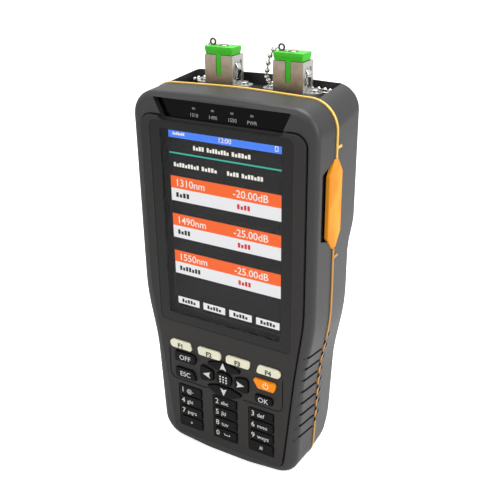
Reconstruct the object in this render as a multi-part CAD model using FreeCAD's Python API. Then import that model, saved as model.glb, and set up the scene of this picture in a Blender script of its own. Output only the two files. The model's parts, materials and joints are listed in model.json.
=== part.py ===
import FreeCAD, Part
import math
import os

# Handheld optical power meter, modelled standing on its foot.
# Millimetres. +X is the user's right, +Y runs from the screen to the back, +Z is up.
# The origin is on the floor, at the middle of the part's box; DEPTH_SHIFT moves the
# working frame, whose y = 0 is the plane of the liquid-crystal screen, to that origin.

DEPTH_SHIFT = -15.1

# ---- screen, which sets the width of everything round it ----------------------------
SCREEN_WIDTH = 50.9
SCREEN_HEIGHT = 77.0
SCREEN_FOOT_Z = 67.5
SCREEN_TOP_Z = SCREEN_FOOT_Z + SCREEN_HEIGHT

# ---- body outline, seen from the front -------------------------------------------
BODY_MARGIN = 14.95        # from the screen's side to the side of the upper body
WAIST_INSET = 4.1          # how much the taper below the screen takes off each side
FOOT_INSET = 6.3           # the same at the floor
HALF_WIDTH = SCREEN_WIDTH / 2 + BODY_MARGIN
WAIST_HALF_WIDTH = HALF_WIDTH - WAIST_INSET
FOOT_HALF_WIDTH = HALF_WIDTH - FOOT_INSET
HEAD_HEIGHT = 14.8         # from the screen to the top edge at the sides
SHOULDER_Z = SCREEN_TOP_Z + HEAD_HEIGHT
CROWN = 1.3                # rise of the top edge to its middle
TAPER_TOP_Z = 73.5
TAPER_FOOT_Z = 50.5
TAPER_RADIUS = 90.0
TOP_CORNER_RADIUS = 10.8
FOOT_CORNER_RADIUS = 11.0
CROWN_RADIUS = 300.0
FOOT_FLAT_X = 10.0         # half width of the flat that it stands on
FOOT_RISE = 2.4            # rise of the foot from the flat to the corners
FOOT_BLEND_RADIUS = 60.0

# ---- levels along the depth -------------------------------------------------------
FRONT_Y = -3.5             # front rim of the housing
SEAM_Y = 10.5              # parting plane of the two housings
BACK_Y = 36.0              # back of the upper body
GRIP_BACK_Y = 30.5         # back of the grip, below the step
STEP_DROP = 37.5           # step in the back, below the screen's top
STEP_HEIGHT = 9.0
STEP_TOP_Z = SCREEN_TOP_Z - STEP_DROP
STEP_FOOT_Z = STEP_TOP_Z - STEP_HEIGHT
FRONT_DRAFT = 0.8          # how much narrower the front rim is than the seam
BACK_DRAFT = 1.4
FRONT_EDGE_RADIUS = 2.6
BACK_EDGE_RADIUS = 4.5
WALL = 2.2
FOOT_TRIM = 0.02           # sliver taken off the lofted foot to leave a plane
HEEL_DEPTH = 10.4          # slanted heel behind the foot, seen from the side
HEEL_RISE = 14.5
HEEL_FOOT_SHARE = 0.514    # how the heel's two corners move when the profile is inset
HEEL_TOP_SHARE = 0.321
HEEL_TOP_RADIUS = 18.0
HEEL_FOOT_RADIUS = 3.0

# ---- seam gasket --------------------------------------------------------------------
SEAM_WIDTH = 1.2
SEAM_PROUD = 0.35
SEAM_DEPTH = 1.5           # how far the gasket reaches inwards
TIE_LENGTH = 3.6           # small ties that run back from the gasket
TIE_SIZE = 0.9
TIE_ABOVE = 4.0            # distance of a tie from the end of the port cover

# ---- front panel ----------------------------------------------------------------------
PANEL_MARGIN = 4.9         # from the side of the housing to the panel
PANEL_WAIST_INSET = 3.6
PANEL_FOOT_INSET = 8.4
PANEL_HALF_WIDTH = HALF_WIDTH - PANEL_MARGIN
PANEL_TAPER_RISE = 3.5     # the panel's taper ends this far above the housing's
PANEL_WAIST_RISE = 0.5     # and starts this far above it
PANEL_HEAD = 5.7           # panel above the screen
PANEL_TOP_Z = SCREEN_TOP_Z + PANEL_HEAD
PANEL_FOOT_Z = 5.0
PANEL_TOP_RADIUS = 5.0
PANEL_FOOT_RADIUS = 4.0
PANEL_TAPER_RADIUS = 80.0
PANEL_FRONT_Y = -4.6
PANEL_BACK_Y = -2.2
PANEL_GROOVE = 0.55        # open groove round the panel
SEAT_WIDTH = 2.5           # ledge that carries the panel
LEDGE_BACK_Y = -0.8
COLUMN_SINK = 0.45         # depth of the troughs of the number keys
COLUMN_MARGIN = 0.75
DIVIDER_WIDTH = 0.5
DIVIDER_DEPTH = 0.4
DIVIDER_HALF_WIDTH = 27.6
DIVIDER_Z = 33.9
DIVIDER_TOP_Z = 49.5

# ---- display window and screen ---------------------------------------------------------------
WINDOW_BORDER_SIDE = 5.4
WINDOW_BORDER_TOP = 4.0
WINDOW_BORDER_FOOT = 5.0
WINDOW_RADIUS = 2.5
WINDOW_SINK = 0.15         # the window lies this far below the panel's face
WINDOW_GAP = 0.08
WINDOW_THICKNESS = 1.4
WINDOW_LEDGE = 1.2
FIT_GAP = 0.2              # between parts that are set in each other
LCD_THICKNESS = 1.6
LCD_MARGIN = 2.2
LCD_FRAME_WALL = 1.0
LCD_FRAME_LIP = 0.4
LCD_FRAME_BACK_Y = 3.4
BACKLIGHT_THICKNESS = 1.2

# ---- indicator window over the screen --------------------------------------------------------
INDICATOR_TOP_HALF_WIDTH = 29.3
INDICATOR_FOOT_HALF_WIDTH = 25.6
INDICATOR_RISE = 4.9       # indicator window above the screen
INDICATOR_HEIGHT = 7.6
INDICATOR_FOOT_Z = SCREEN_TOP_Z + INDICATOR_RISE
INDICATOR_TOP_Z = INDICATOR_FOOT_Z + INDICATOR_HEIGHT
INDICATOR_Y = -1.1
INDICATOR_THICKNESS = 1.2
INDICATOR_CORNER = 0.8
INDICATOR_RIM = 0.8        # panel stays this far away from the window's recess
LED_PITCH = 8.3
LED_RISE = 4.3             # lamps above the window's lower edge
LED_Z = INDICATOR_FOOT_Z + LED_RISE
LED_RADIUS = 0.7
LED_COUNT = 4

# ---- keys ------------------------------------------------------------------------------------
KEY_TRAVEL = 0.8
KEY_GAP = 0.25             # between a key and the panel
KEY_TOP_Y = -5.6
SOFT_KEY_TOP_Y = -5.4
KEY_BACK_Y = -1.5
KEY_EDGE_RADIUS = 0.35
NUMBER_PITCH_X = 17.7
NUMBER_PITCH_Z = 5.5
NUMBER_TOP_Z = 29.2
NUMBER_WIDTH = 11.1
NUMBER_HEIGHT = 4.6
NUMBER_NAMES = [["key_1", "key_2", "key_3"], ["key_4", "key_5", "key_6"],
                ["key_7", "key_8", "key_9"], ["key_star", "key_0", "key_hash"]]
NUMBER_TOP_Y = -4.9
SOFT_Z = 51.8
SOFT_HEIGHT = 3.8
SOFT_SLANT = 1.2           # lean of the ends of the soft keys
SOFT_OUTER_X = 26.7
SOFT_OUTER_WIDTH = 11.2
SOFT_INNER_X = 12.8
SOFT_INNER_WIDTH = 11.5
PAD_Z = 41.4               # middle of the arrow keys
CENTRE_WIDTH = 7.6
CENTRE_HEIGHT = 6.3
ARROW_REACH_X = 9.3
ARROW_TIP_Z = 5.7          # heights from the middle of the arrow keys
ARROW_UP_PEAK = 7.8
ARROW_DOWN_PEAK = 9.0
ARROW_FOOT_X = 3.6
ARROW_SHOULDER_X = 3.2
SIDE_ARROW_NEAR_X = 5.1
SIDE_ARROW_FAR_X = 11.8
SIDE_ARROW_NEAR_HALF = 2.5
SIDE_ARROW_FAR_HALF = 3.9
WING_OUTER_X = 24.6        # OFF, ESC and OK stand this far out
WING_INNER_X = 14.6
WING_HEIGHT = 4.8
WING_SLANT = 1.8
OFF_Z = 46.0
ESCAPE_Z = 37.85
OK_Z = 37.5
OK_WIDTH = 8.1
OK_HEIGHT = 3.6
OK_INNER_X = 15.0
POWER_Z = 44.9
POWER_HEIGHT = 4.4
POWER_INNER_X = 13.8
POWER_OUTER_X = 25.0
POWER_SLANT = 2.8
MAT_THICKNESS = 1.2
MAT_CLEARANCE = 0.1        # left between a pressed key and the mat
MAT_TOP_Z = 57.5
MAT_FOOT_Z = 8.0
MAT_HALF_WIDTH = 27.0
KEY_BOARD_THICKNESS = 1.2

# ---- boards and battery ------------------------------------------------------------------------
BOARD_Y = 3.6
BOARD_THICKNESS = 1.6
BOARD_MARGIN = 11.6        # from the side of the housing to the board
BOARD_FOOT_INSET = 4.2
SPACER_X = 20.0
SPACER_ZS = (13.0, 54.0)
SPACER_RADIUS = 1.5
BOARD_FOOT_Z = 10.0
BOARD_DROP = 3.5           # board's upper edge below the screen's
BOARD_TOP_Z = SCREEN_TOP_Z - BOARD_DROP
BOARD_CORNER = 3.0
SHIELD_WIDTH = 30.0
SHIELD_HEIGHT = 26.0
SHIELD_DEPTH = 2.6
SHIELD_WALL = 0.4
SHIELD_DROP = 25.0
SHIELD_Z = BOARD_TOP_Z - SHIELD_DROP
BATTERY_WIDTH = 46.0
BATTERY_THICKNESS = 14.3
BATTERY_FOOT_Z = 26.0
BATTERY_RADIUS = 2.0
BAY_WALL = 1.2
BAY_GAP = 0.3
COVER_HALF_WIDTH = 25.0
COVER_FOOT_Z = 22.0
COVER_DROP = 8.0           # cover's upper edge below the step
COVER_TOP_Z = STEP_FOOT_Z - COVER_DROP
COVER_RADIUS = 4.0
COVER_THICKNESS = 2.2
COVER_GAP = 0.25
COVER_LEDGE = 1.6

# ---- screws and bosses, and the battery's height between them --------------------------
BOSS_RADIUS = 3.0
SCREW_RADIUS = 1.25
SCREW_HEAD_RADIUS = 2.3
SCREW_HEAD_HEIGHT = 1.5
SCREW_CLEARANCE = 0.2
SCREW_LENGTH = 10.0
SCREW_BEDDING = 3.0        # wall left under a screw head
SCREW_INSET = 8.2          # from the side of the upper body
FOOT_SCREW_INSET = 12.0
UPPER_SCREW_DROP = 3.5     # below the screen's top
MIDDLE_SCREW_DROP = 48.5
FOOT_SCREW_Z = 14.0
HOUSING_SCREWS = [(HALF_WIDTH - SCREW_INSET, SCREEN_TOP_Z - UPPER_SCREW_DROP),
                  (HALF_WIDTH - SCREW_INSET, SCREEN_TOP_Z - MIDDLE_SCREW_DROP),
                  (HALF_WIDTH - FOOT_SCREW_INSET, FOOT_SCREW_Z)]   # and their mirror images
COVER_SCREW_X = 19.0
COVER_SCREW_DROP = 2.8
COVER_SCREW_Z = COVER_TOP_Z - COVER_SCREW_DROP
COVER_SCREW_LENGTH = 6.0
BATTERY_SCREW_DROP = 3.2   # from the cover's screws down to the battery's top
BATTERY_HEIGHT = COVER_SCREW_Z - BATTERY_SCREW_DROP - BATTERY_FOOT_Z

# ---- connector pocket in the top ---------------------------------------------------------------------
POCKET_MARGIN = 8.4        # from the side of the housing to the pocket
POCKET_HALF_WIDTH = HALF_WIDTH - POCKET_MARGIN
POCKET_BACK_Y = 33.6
POCKET_DEPTH = 4.3         # below the top edge
POCKET_FLOOR_Z = SHOULDER_Z - POCKET_DEPTH
POCKET_RADIUS = 3.0
PLATE_THICKNESS = 2.0
PLATE_TOP_Z = POCKET_FLOOR_Z + PLATE_THICKNESS
BACK_RIM_RISE = 3.6        # how far the top edge climbs from the seam to the back

# ---- fibre adapters -------------------------------------------------------------------------------------
ADAPTER_INSET = 16.85      # from the pocket's side to the adapter's middle
ADAPTER_X = POCKET_HALF_WIDTH - ADAPTER_INSET
ADAPTER_FRONT_Y = 20.9
ADAPTER_WIDTH = 12.7
ADAPTER_DEPTH = 8.3
ADAPTER_WALL = 0.9
ADAPTER_STAND = 12.5       # height above the plate
ADAPTER_DROP = 14.0        # length below the plate's face
ADAPTER_TOP_Z = PLATE_TOP_Z + ADAPTER_STAND
ADAPTER_FOOT_Z = PLATE_TOP_Z - ADAPTER_DROP
PARTITION_DROP = 1.0       # partition with the ferrule sleeve, below the plate's face
PARTITION_THICKNESS = 1.5
ADAPTER_FLOOR_Z = PLATE_TOP_Z - PARTITION_DROP
KEYWAY_WIDTH = 2.3
KEYWAY_LENGTH = 7.9
KEYWAY_FOOT_Z = ADAPTER_TOP_Z - KEYWAY_LENGTH
FLANGE_THICKNESS = 1.5
FLANGE_HOLE_X = 9.0
FLANGE_END_RADIUS = 3.4
FLANGE_SCREW_RADIUS = 0.9
FLANGE_HEAD_RADIUS = 1.8
FLANGE_HEAD_HEIGHT = 1.1
SLEEVE_RADIUS = 1.9
SLEEVE_BORE = 1.27
SLEEVE_LENGTH = 12.5
SLEEVE_RISE = 4.5          # above the partition
SPRING_THICKNESS = 0.35
SPRING_WIDTH = 5.4
SPRING_FOOT_GAP = 2.2      # above the plate
SPRING_TOP_GAP = 1.9       # below the adapter's mouth
SPRING_FOOT_Z = PLATE_TOP_Z + SPRING_FOOT_GAP
SPRING_TOP_Z = ADAPTER_TOP_Z - SPRING_TOP_GAP
SPRING_TONGUE_WIDTH = 2.6
SPRING_BULGE = 1.0
DETECTOR_RADIUS = 3.0
DETECTOR_HEIGHT = 7.0

# ---- dust caps ---------------------------------------------------------------------------------------------
CAP_HEIGHT = 2.9
CAP_WIDTH = 12.5
CAP_DEPTH = 7.4
CAP_OFFSET_X = -0.4        # the head reaches further to the side of its chain
CAP_UNDERCUT = 0.3
CAP_WAIST = 0.6            # share of the head's height that is slanted
CAP_SEAT_GAP = 0.1
CAP_PLUG_WIDTH = 9.2
CAP_PLUG_LENGTH = 8.6
CAP_PLUG_GAP = 0.25
CAP_TONGUE_GAP = 0.15
CAP_PLUG_WALL = 0.8
RIVET_RADIUS = 2.0
RIVET_HEIGHT = 0.5
TAB_THICKNESS = 0.35
TAB_WIDTH = 1.6
RING_X = -4.9              # ring on the tab, from the cap's middle
RING_RADIUS = 1.6
RING_WIRE = 0.32

# ---- ball chains -----------------------------------------------------------------------------------------------
BALL_RADIUS = 1.0
BALL_PITCH = 2.85
LINK_RADIUS = 0.35
BALL_GAP = 0.15            # between a lying ball and what it lies on
HOOK_GAP = 0.5             # between the chain's first link and the cap's ring
BALL_AXIS = FreeCAD.Vector(1.0, 0.5, 0.7)   # keeps the poles of the balls clear of their links
BALL_BACK_Y = POCKET_BACK_Y - BALL_RADIUS - 0.85

# ---- side port and its cover ---------------------------------------------------------------------------------------
PORT_DROP = 5.5            # port's upper tip below the screen's top
PORT_LENGTH = 34.8
PORT_TOP_Z = SCREEN_TOP_Z - PORT_DROP
PORT_FOOT_Z = PORT_TOP_Z - PORT_LENGTH
PORT_HALF_WIDTH = 5.4
PORT_TIP_HALF_WIDTH = 1.3
PORT_SHOULDER = 5.5        # height of the tapered ends
PORT_BULGE = 0.5           # how far the cover stands proud of the side wall
PORT_RECESS = 1.3
PORT_RIM_RADIUS = 0.6
PORT_GAP = 0.2
PORT_RADIUS = 1.6
NOTCH_WIDTH = 4.6
NOTCH_DEPTH = 1.6
NOTCH_FOOT_END = 5.8       # the notch ends this far inside the cover's foot
NOTCH_TOP_END = 3.5        # and its top
NOTCH_SLANT = 3.0
USB_DROP = 11.0            # sockets below the port's tip
JACK_DROP = 26.0
USB_Z = PORT_TOP_Z - USB_DROP
USB_WIDTH = 7.8
USB_HEIGHT = 2.9
USB_LENGTH = 6.0
JACK_Z = PORT_TOP_Z - JACK_DROP
JACK_RADIUS = 3.6
JACK_BORE = 2.9
JACK_PIN = 0.9
JACK_LENGTH = 8.0
PORT_OPENING_GAP = 0.3
PLUG_STUB = 0.9            # how far the cover's stubs reach into the openings
SOCKET_INSET = 2.9         # sockets end this far inside the side wall's face

# ---- grip grooves ------------------------------------------------------------------------------------------------------
GRIP_COUNT = 8
GRIP_FOOT_Z = 20.6
GRIP_PITCH = 5.55
GRIP_WIDTH = 1.2
GRIP_DEPTH = 1.0
GRIP_RISE = 1.8
GRIP_FRONT_Y = -2.4
SLOT_RISE = 2.6
SLOT_LENGTH = 4.4
SLOT_WIDTH = 1.5
SLOT_OFFSET_Z = 2.7


# ======================================================================================
# geometry helpers
# ======================================================================================
def front(y):
    """Place outline points (x, z) on the plane at depth y."""
    return lambda a, b: FreeCAD.Vector(a, y, b)


def side(x):
    """Place outline points (y, z) on the plane at x."""
    return lambda a, b: FreeCAD.Vector(x, a, b)


def level(z):
    """Place outline points (x, y) on the plane at height z."""
    return lambda a, b: FreeCAD.Vector(a, b, z)


def rounded_wire(corners, place):
    """Closed wire through corners (a, b, radius), with tangent arcs at the corners."""
    rounds = []
    for i, (a, b, radius) in enumerate(corners):
        here = FreeCAD.Vector(a, b, 0)
        before = FreeCAD.Vector(corners[i - 1][0], corners[i - 1][1], 0) - here
        following = corners[(i + 1) % len(corners)]
        after = FreeCAD.Vector(following[0], following[1], 0) - here
        before.normalize()
        after.normalize()
        half_angle = before.getAngle(after) / 2
        reach = radius / math.tan(half_angle)
        bisector = before + after
        bisector.normalize()
        middle = here + bisector * (radius / math.sin(half_angle) - radius)
        rounds.append((here + before * reach, middle, here + after * reach, radius))
    edges = []
    for i, (start, middle, end, radius) in enumerate(rounds):
        if radius > 0:
            arc = Part.Arc(place(start.x, start.y), place(middle.x, middle.y), place(end.x, end.y))
            edges.append(arc.toShape())
        next_start = rounds[(i + 1) % len(rounds)][0]
        if end.distanceToPoint(next_start) > 1e-6:
            line = Part.LineSegment(place(end.x, end.y), place(next_start.x, next_start.y))
            edges.append(line.toShape())
    return Part.Wire(edges)


def front_prism(corners, y0, y1):
    """Solid of an outline (x, z, radius) between two depths."""
    face = Part.Face(rounded_wire(corners, front(y0)))
    return face.extrude(FreeCAD.Vector(0, y1 - y0, 0))


def side_prism(corners, x0, x1):
    """Solid of an outline (y, z, radius) between two x planes."""
    face = Part.Face(rounded_wire(corners, side(x0)))
    return face.extrude(FreeCAD.Vector(x1 - x0, 0, 0))


def level_prism(corners, z0, z1):
    """Solid of an outline (x, y, radius) between two heights."""
    face = Part.Face(rounded_wire(corners, level(z0)))
    return face.extrude(FreeCAD.Vector(0, 0, z1 - z0))


def box(x0, x1, y0, y1, z0, z1):
    """Box between two corners."""
    return Part.makeBox(x1 - x0, y1 - y0, z1 - z0, FreeCAD.Vector(x0, y0, z0))


def rectangle(a0, a1, b0, b1, radius=0.0):
    """Corner list of a rectangle with one corner radius."""
    return [(a0, b0, radius), (a1, b0, radius), (a1, b1, radius), (a0, b1, radius)]


def mirrored(right_side):
    """Whole outline from its right side, listed from the foot to the top."""
    left_side = [(-a, b, radius) for a, b, radius in reversed(right_side)]
    return right_side + left_side


def rod_y(x, z, radius, y0, y1):
    """Cylinder along the depth."""
    return Part.makeCylinder(radius, y1 - y0, FreeCAD.Vector(x, y0, z), FreeCAD.Vector(0, 1, 0))


def rod_z(x, y, radius, z0, z1):
    """Upright cylinder."""
    return Part.makeCylinder(radius, z1 - z0, FreeCAD.Vector(x, y, z0))


def rod_x(y, z, radius, x0, x1):
    """Cylinder across the body."""
    return Part.makeCylinder(radius, x1 - x0, FreeCAD.Vector(x0, y, z), FreeCAD.Vector(1, 0, 0))


def fuse(shapes):
    """One solid of several that touch."""
    whole = shapes[0]
    if len(shapes) > 1:
        whole = whole.fuse(shapes[1:])
    return whole.removeSplitter()


def mirror_x(shape):
    """Copy of a shape on the other side of the middle plane."""
    return shape.mirror(FreeCAD.Vector(0, 0, 0), FreeCAD.Vector(1, 0, 0))


# ======================================================================================
# housing
# ======================================================================================
def body_corners(inset, lift, foot_z):
    """Body outline seen from the front, moved inwards by inset, its top raised by lift."""
    return mirrored([
        (FOOT_FLAT_X, foot_z, FOOT_BLEND_RADIUS),
        (FOOT_HALF_WIDTH - inset, foot_z + FOOT_RISE, max(FOOT_CORNER_RADIUS - inset, 1.0)),
        (WAIST_HALF_WIDTH - inset, TAPER_FOOT_Z, TAPER_RADIUS),
        (HALF_WIDTH - inset, TAPER_TOP_Z, TAPER_RADIUS),
        (HALF_WIDTH - inset, SHOULDER_Z - inset + lift, max(TOP_CORNER_RADIUS - inset, 1.0)),
    ])


def crowned(corners, lift, inset):
    """The outline with a raised middle in its top edge."""
    top_z = SHOULDER_Z - inset + lift + CROWN
    middle = len(corners) // 2
    return corners[:middle] + [(0.0, top_z, CROWN_RADIUS)] + corners[middle:]


def body_wire(inset, y, lift=0.0, foot_z=0.0):
    """Body outline as a wire at depth y."""
    return rounded_wire(crowned(body_corners(inset, lift, foot_z), lift, inset), front(y))


def body_loft(inset0, y0, inset1, y1, lift1=0.0, foot_z=0.0):
    """Solid between two body outlines, the second with its top edge raised by lift1."""
    wires = [body_wire(inset0, y0, 0.0, foot_z), body_wire(inset1, y1, lift1, foot_z)]
    return Part.makeLoft(wires, True, True)


def edges_at_depth(shape, y):
    """Edges that lie wholly in the plane at depth y."""
    return [e for e in shape.Edges
            if abs(e.BoundBox.YMin - y) < 1e-4 and abs(e.BoundBox.YMax - y) < 1e-4]


def back_profile(inset):
    """Side view of the rear housing, (y, z, radius)."""
    return [
        (SEAM_Y, inset, 0.0),
        (GRIP_BACK_Y - HEEL_DEPTH - HEEL_FOOT_SHARE * inset, inset, HEEL_FOOT_RADIUS - inset),
        (GRIP_BACK_Y - inset, HEEL_RISE + HEEL_TOP_SHARE * inset, HEEL_TOP_RADIUS - inset),
        (GRIP_BACK_Y - inset, STEP_FOOT_Z, 12.0),
        (BACK_Y - inset, STEP_TOP_Z, 12.0),
        (BACK_Y - inset, SHOULDER_Z + 10.0, 0.0),
        (SEAM_Y, SHOULDER_Z + 10.0, 0.0),
    ]


def front_outer():
    """Outer form of the front housing."""
    solid = body_loft(0.0, SEAM_Y, FRONT_DRAFT, FRONT_Y, foot_z=-FOOT_TRIM)
    return flat_foot(solid.makeFillet(FRONT_EDGE_RADIUS, edges_at_depth(solid, FRONT_Y)))


def flat_foot(solid):
    """Plane face to stand on, a hair above the lofted end."""
    return solid.cut(box(-60, 60, -60, 60, -1, 0))


def back_rim_edges(solid):
    """Edges where the side walls meet the stepped back, without the tangent one at the foot."""
    chosen = []
    for edge in solid.Edges:
        faces = [face for face in solid.Faces if any(edge.isSame(other) for other in face.Edges)]
        ruled = [isinstance(face.Surface, Part.BSplineSurface) for face in faces]
        box_of = edge.BoundBox
        if sum(ruled) == 1 and box_of.YMin > SEAM_Y + 1.0 and box_of.ZMax > 0.5:
            chosen.append(edge)
    return chosen


def rear_outer():
    """Outer form of the rear housing, with its stepped back."""
    solid = body_loft(0.0, SEAM_Y, BACK_DRAFT, BACK_Y + 1.0, BACK_RIM_RISE, foot_z=-FOOT_TRIM)
    solid = solid.common(side_prism(back_profile(0.0), -60.0, 60.0)).Solids[0]
    return flat_foot(solid.makeFillet(BACK_EDGE_RADIUS, back_rim_edges(solid)))


def seam_ring():
    """Band of the gasket round the parting plane."""
    y0 = SEAM_Y - SEAM_WIDTH / 2
    y1 = SEAM_Y + SEAM_WIDTH / 2
    outside = body_loft(-SEAM_PROUD, y0, -SEAM_PROUD, y1)
    inside = body_loft(SEAM_DEPTH, y0 - 1, SEAM_DEPTH, y1 + 1, foot_z=SEAM_DEPTH)
    return outside.cut(inside)


def seam_gasket(ring):
    """Gasket, open at the side port and notched by the grip, with the two ties beside the port."""
    port = port_prism(PORT_GAP, HALF_WIDTH - 6.0, HALF_WIDTH + 3.0)
    slots = grip_slots()
    gasket = ring.cut([port, slots, mirror_x(slots)])
    ties = []
    for z in (PORT_TOP_Z + TIE_ABOVE, PORT_FOOT_Z - TIE_ABOVE):
        y0 = SEAM_Y + SEAM_WIDTH / 2 - 0.5
        ties.append(box(HALF_WIDTH + 0.02, HALF_WIDTH + TIE_SIZE / 2, y0, y0 + TIE_LENGTH,
                        z - TIE_SIZE / 2, z + TIE_SIZE / 2))
    return fuse([gasket] + ties)


def width_at(z):
    """Half width of the straight-sided outline at height z."""
    if z < TAPER_FOOT_Z:
        return FOOT_HALF_WIDTH + (WAIST_HALF_WIDTH - FOOT_HALF_WIDTH) * z / TAPER_FOOT_Z
    if z < TAPER_TOP_Z:
        share = (z - TAPER_FOOT_Z) / (TAPER_TOP_Z - TAPER_FOOT_Z)
        return WAIST_HALF_WIDTH + (HALF_WIDTH - WAIST_HALF_WIDTH) * share
    return HALF_WIDTH


def grip_grooves():
    """Grip grooves of the front housing, right side: slots that follow its wall."""
    core = body_loft(GRIP_DEPTH, SEAM_Y + 1.0, GRIP_DEPTH + FRONT_DRAFT, FRONT_Y, foot_z=GRIP_DEPTH)
    slots = []
    for i in range(GRIP_COUNT):
        z = GRIP_FOOT_Z + GRIP_PITCH * i
        outline = [(GRIP_FRONT_Y, z + GRIP_RISE, 0.0), (SEAM_Y, z, 0.0),
                   (SEAM_Y, z + GRIP_WIDTH, 0.0), (GRIP_FRONT_Y, z + GRIP_RISE + GRIP_WIDTH, 0.3)]
        x = width_at(z)
        slots.append(side_prism(outline, x - 3.5, x + 3.0))
    return Part.makeCompound([slot.cut(core) for slot in slots])


def grip_slots():
    """Short slanted slots of the rear housing, right side, that start across the gasket."""
    core = body_loft(GRIP_DEPTH, SEAM_Y - 1.0, GRIP_DEPTH + BACK_DRAFT, BACK_Y + 1.0,
                     foot_z=GRIP_DEPTH)
    slots = []
    for i in range(GRIP_COUNT):
        z = GRIP_FOOT_Z + GRIP_PITCH * i + SLOT_OFFSET_Z
        y0 = SEAM_Y - SEAM_WIDTH / 2
        y1 = y0 + SLOT_LENGTH
        outline = [(y0, z, 0.0), (y1, z + SLOT_RISE, 0.4), (y1, z + SLOT_RISE + SLOT_WIDTH, 0.4),
                   (y0, z + SLOT_WIDTH, 0.0)]
        x = width_at(z)
        slots.append(side_prism(outline, x - 3.5, x + 3.0))
    return Part.makeCompound([slot.cut(core) for slot in slots])


def screw_places():
    """Housing screws on both sides."""
    return [(sign * x, z) for x, z in HOUSING_SCREWS for sign in (-1, 1)]


def front_housing(ring):
    """Front shell: rim round the panel, ledge, indicator recess, bosses and grip."""
    shell = front_outer()
    shell = shell.cut(body_loft(WALL, SEAM_Y + 0.01, WALL + FRONT_DRAFT, LEDGE_BACK_Y, foot_z=WALL))
    bosses = [rod_y(x, z, BOSS_RADIUS, LEDGE_BACK_Y - 0.3, SEAM_Y) for x, z in screw_places()]
    shell = shell.fuse(bosses)
    shell = shell.cut(front_prism(panel_corners(PANEL_GROOVE), FRONT_Y - 3.0, PANEL_BACK_Y))
    shell = shell.cut(front_prism(panel_corners(-SEAT_WIDTH), FRONT_Y, LEDGE_BACK_Y))
    shell = shell.cut(front_prism(indicator_corners(0.0), FRONT_Y - 3.0,
                                  INDICATOR_Y + INDICATOR_THICKNESS))
    pilots = [rod_y(x, z, SCREW_RADIUS + 0.05, SEAM_Y + SCREW_BEDDING - SCREW_LENGTH - 1.0, SEAM_Y)
              for x, z in screw_places()]
    grooves = grip_grooves()
    shell = shell.cut(pilots + [ring, grooves, mirror_x(grooves), finger_notch()])
    return shell.cut(port_cuts()).removeSplitter()


def rear_housing(ring):
    """Rear shell: connector pocket, battery bay, screw wells and grip."""
    shell = rear_outer()
    cavity = body_loft(WALL, SEAM_Y - 0.01, WALL + BACK_DRAFT, BACK_Y + 1.0, foot_z=WALL)
    cavity = cavity.common(side_prism(back_profile(WALL), -60.0, 60.0))
    roof = box(-60, 60, SEAM_Y - 1, BACK_Y + 2, POCKET_FLOOR_Z - WALL, SHOULDER_Z + 12)
    shell = shell.cut(cavity.cut(roof))
    bay_x = BATTERY_WIDTH / 2 + BAY_GAP
    bay_z0 = BATTERY_FOOT_Z - BAY_GAP
    bay_z1 = BATTERY_FOOT_Z + BATTERY_HEIGHT + BAY_GAP
    cover_y = GRIP_BACK_Y - COVER_THICKNESS
    additions = [box(-bay_x - BAY_WALL, bay_x + BAY_WALL, SEAM_Y, cover_y,
                     bay_z0 - BAY_WALL, bay_z1 + BAY_WALL)]
    additions.append(front_prism(cover_corners(COVER_LEDGE), cover_y - COVER_LEDGE, cover_y))
    inner = rear_inner_limit()
    for x, z in screw_places():
        additions.append(rod_y(x, z, BOSS_RADIUS + 0.4, SEAM_Y, BACK_Y).common(inner))
    for x in (-COVER_SCREW_X, COVER_SCREW_X):
        additions.append(rod_y(x, COVER_SCREW_Z, BOSS_RADIUS - 0.6, cover_y - 8.0, cover_y))
    shell = shell.fuse(additions)
    cuts = [box(-bay_x, bay_x, SEAM_Y + BAY_WALL, BACK_Y, bay_z0, bay_z1)]
    cuts.append(front_prism(cover_corners(COVER_GAP), cover_y, BACK_Y))
    for x, z in screw_places():
        cuts.append(rod_y(x, z, SCREW_RADIUS + SCREW_CLEARANCE, SEAM_Y - 1, BACK_Y + 1))
        cuts.append(rod_y(x, z, SCREW_HEAD_RADIUS + SCREW_CLEARANCE, SEAM_Y + SCREW_BEDDING,
                          BACK_Y + 1))
    for x in (-COVER_SCREW_X, COVER_SCREW_X):
        cuts.append(rod_y(x, COVER_SCREW_Z, SCREW_RADIUS + 0.05, cover_y - 7.0, cover_y + 0.1))
    cuts.append(level_prism(rectangle(-POCKET_HALF_WIDTH, POCKET_HALF_WIDTH, SEAM_Y - 5.0,
                                      POCKET_BACK_Y, POCKET_RADIUS),
                            POCKET_FLOOR_Z, SHOULDER_Z + 12))
    for sign in (-1, 1):
        cuts.append(adapter_block(sign * ADAPTER_X, FIT_GAP, POCKET_FLOOR_Z - 5, POCKET_FLOOR_Z + 1))
    slots = grip_slots()
    shell = shell.cut(cuts + [ring, slots, mirror_x(slots)])
    return shell.cut(port_cuts()).removeSplitter()


def rear_inner_limit():
    """Space that inner bosses of the rear housing may fill, up to half of its wall."""
    space = body_loft(WALL / 2, SEAM_Y, WALL / 2 + BACK_DRAFT, BACK_Y + 1.0, foot_z=WALL / 2)
    return space.common(side_prism(back_profile(WALL / 2), -60.0, 60.0))


def cover_corners(grow):
    """Outline of the battery cover."""
    return rectangle(-COVER_HALF_WIDTH - grow, COVER_HALF_WIDTH + grow, COVER_FOOT_Z - grow,
                     COVER_TOP_Z + grow, COVER_RADIUS + grow)


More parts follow.
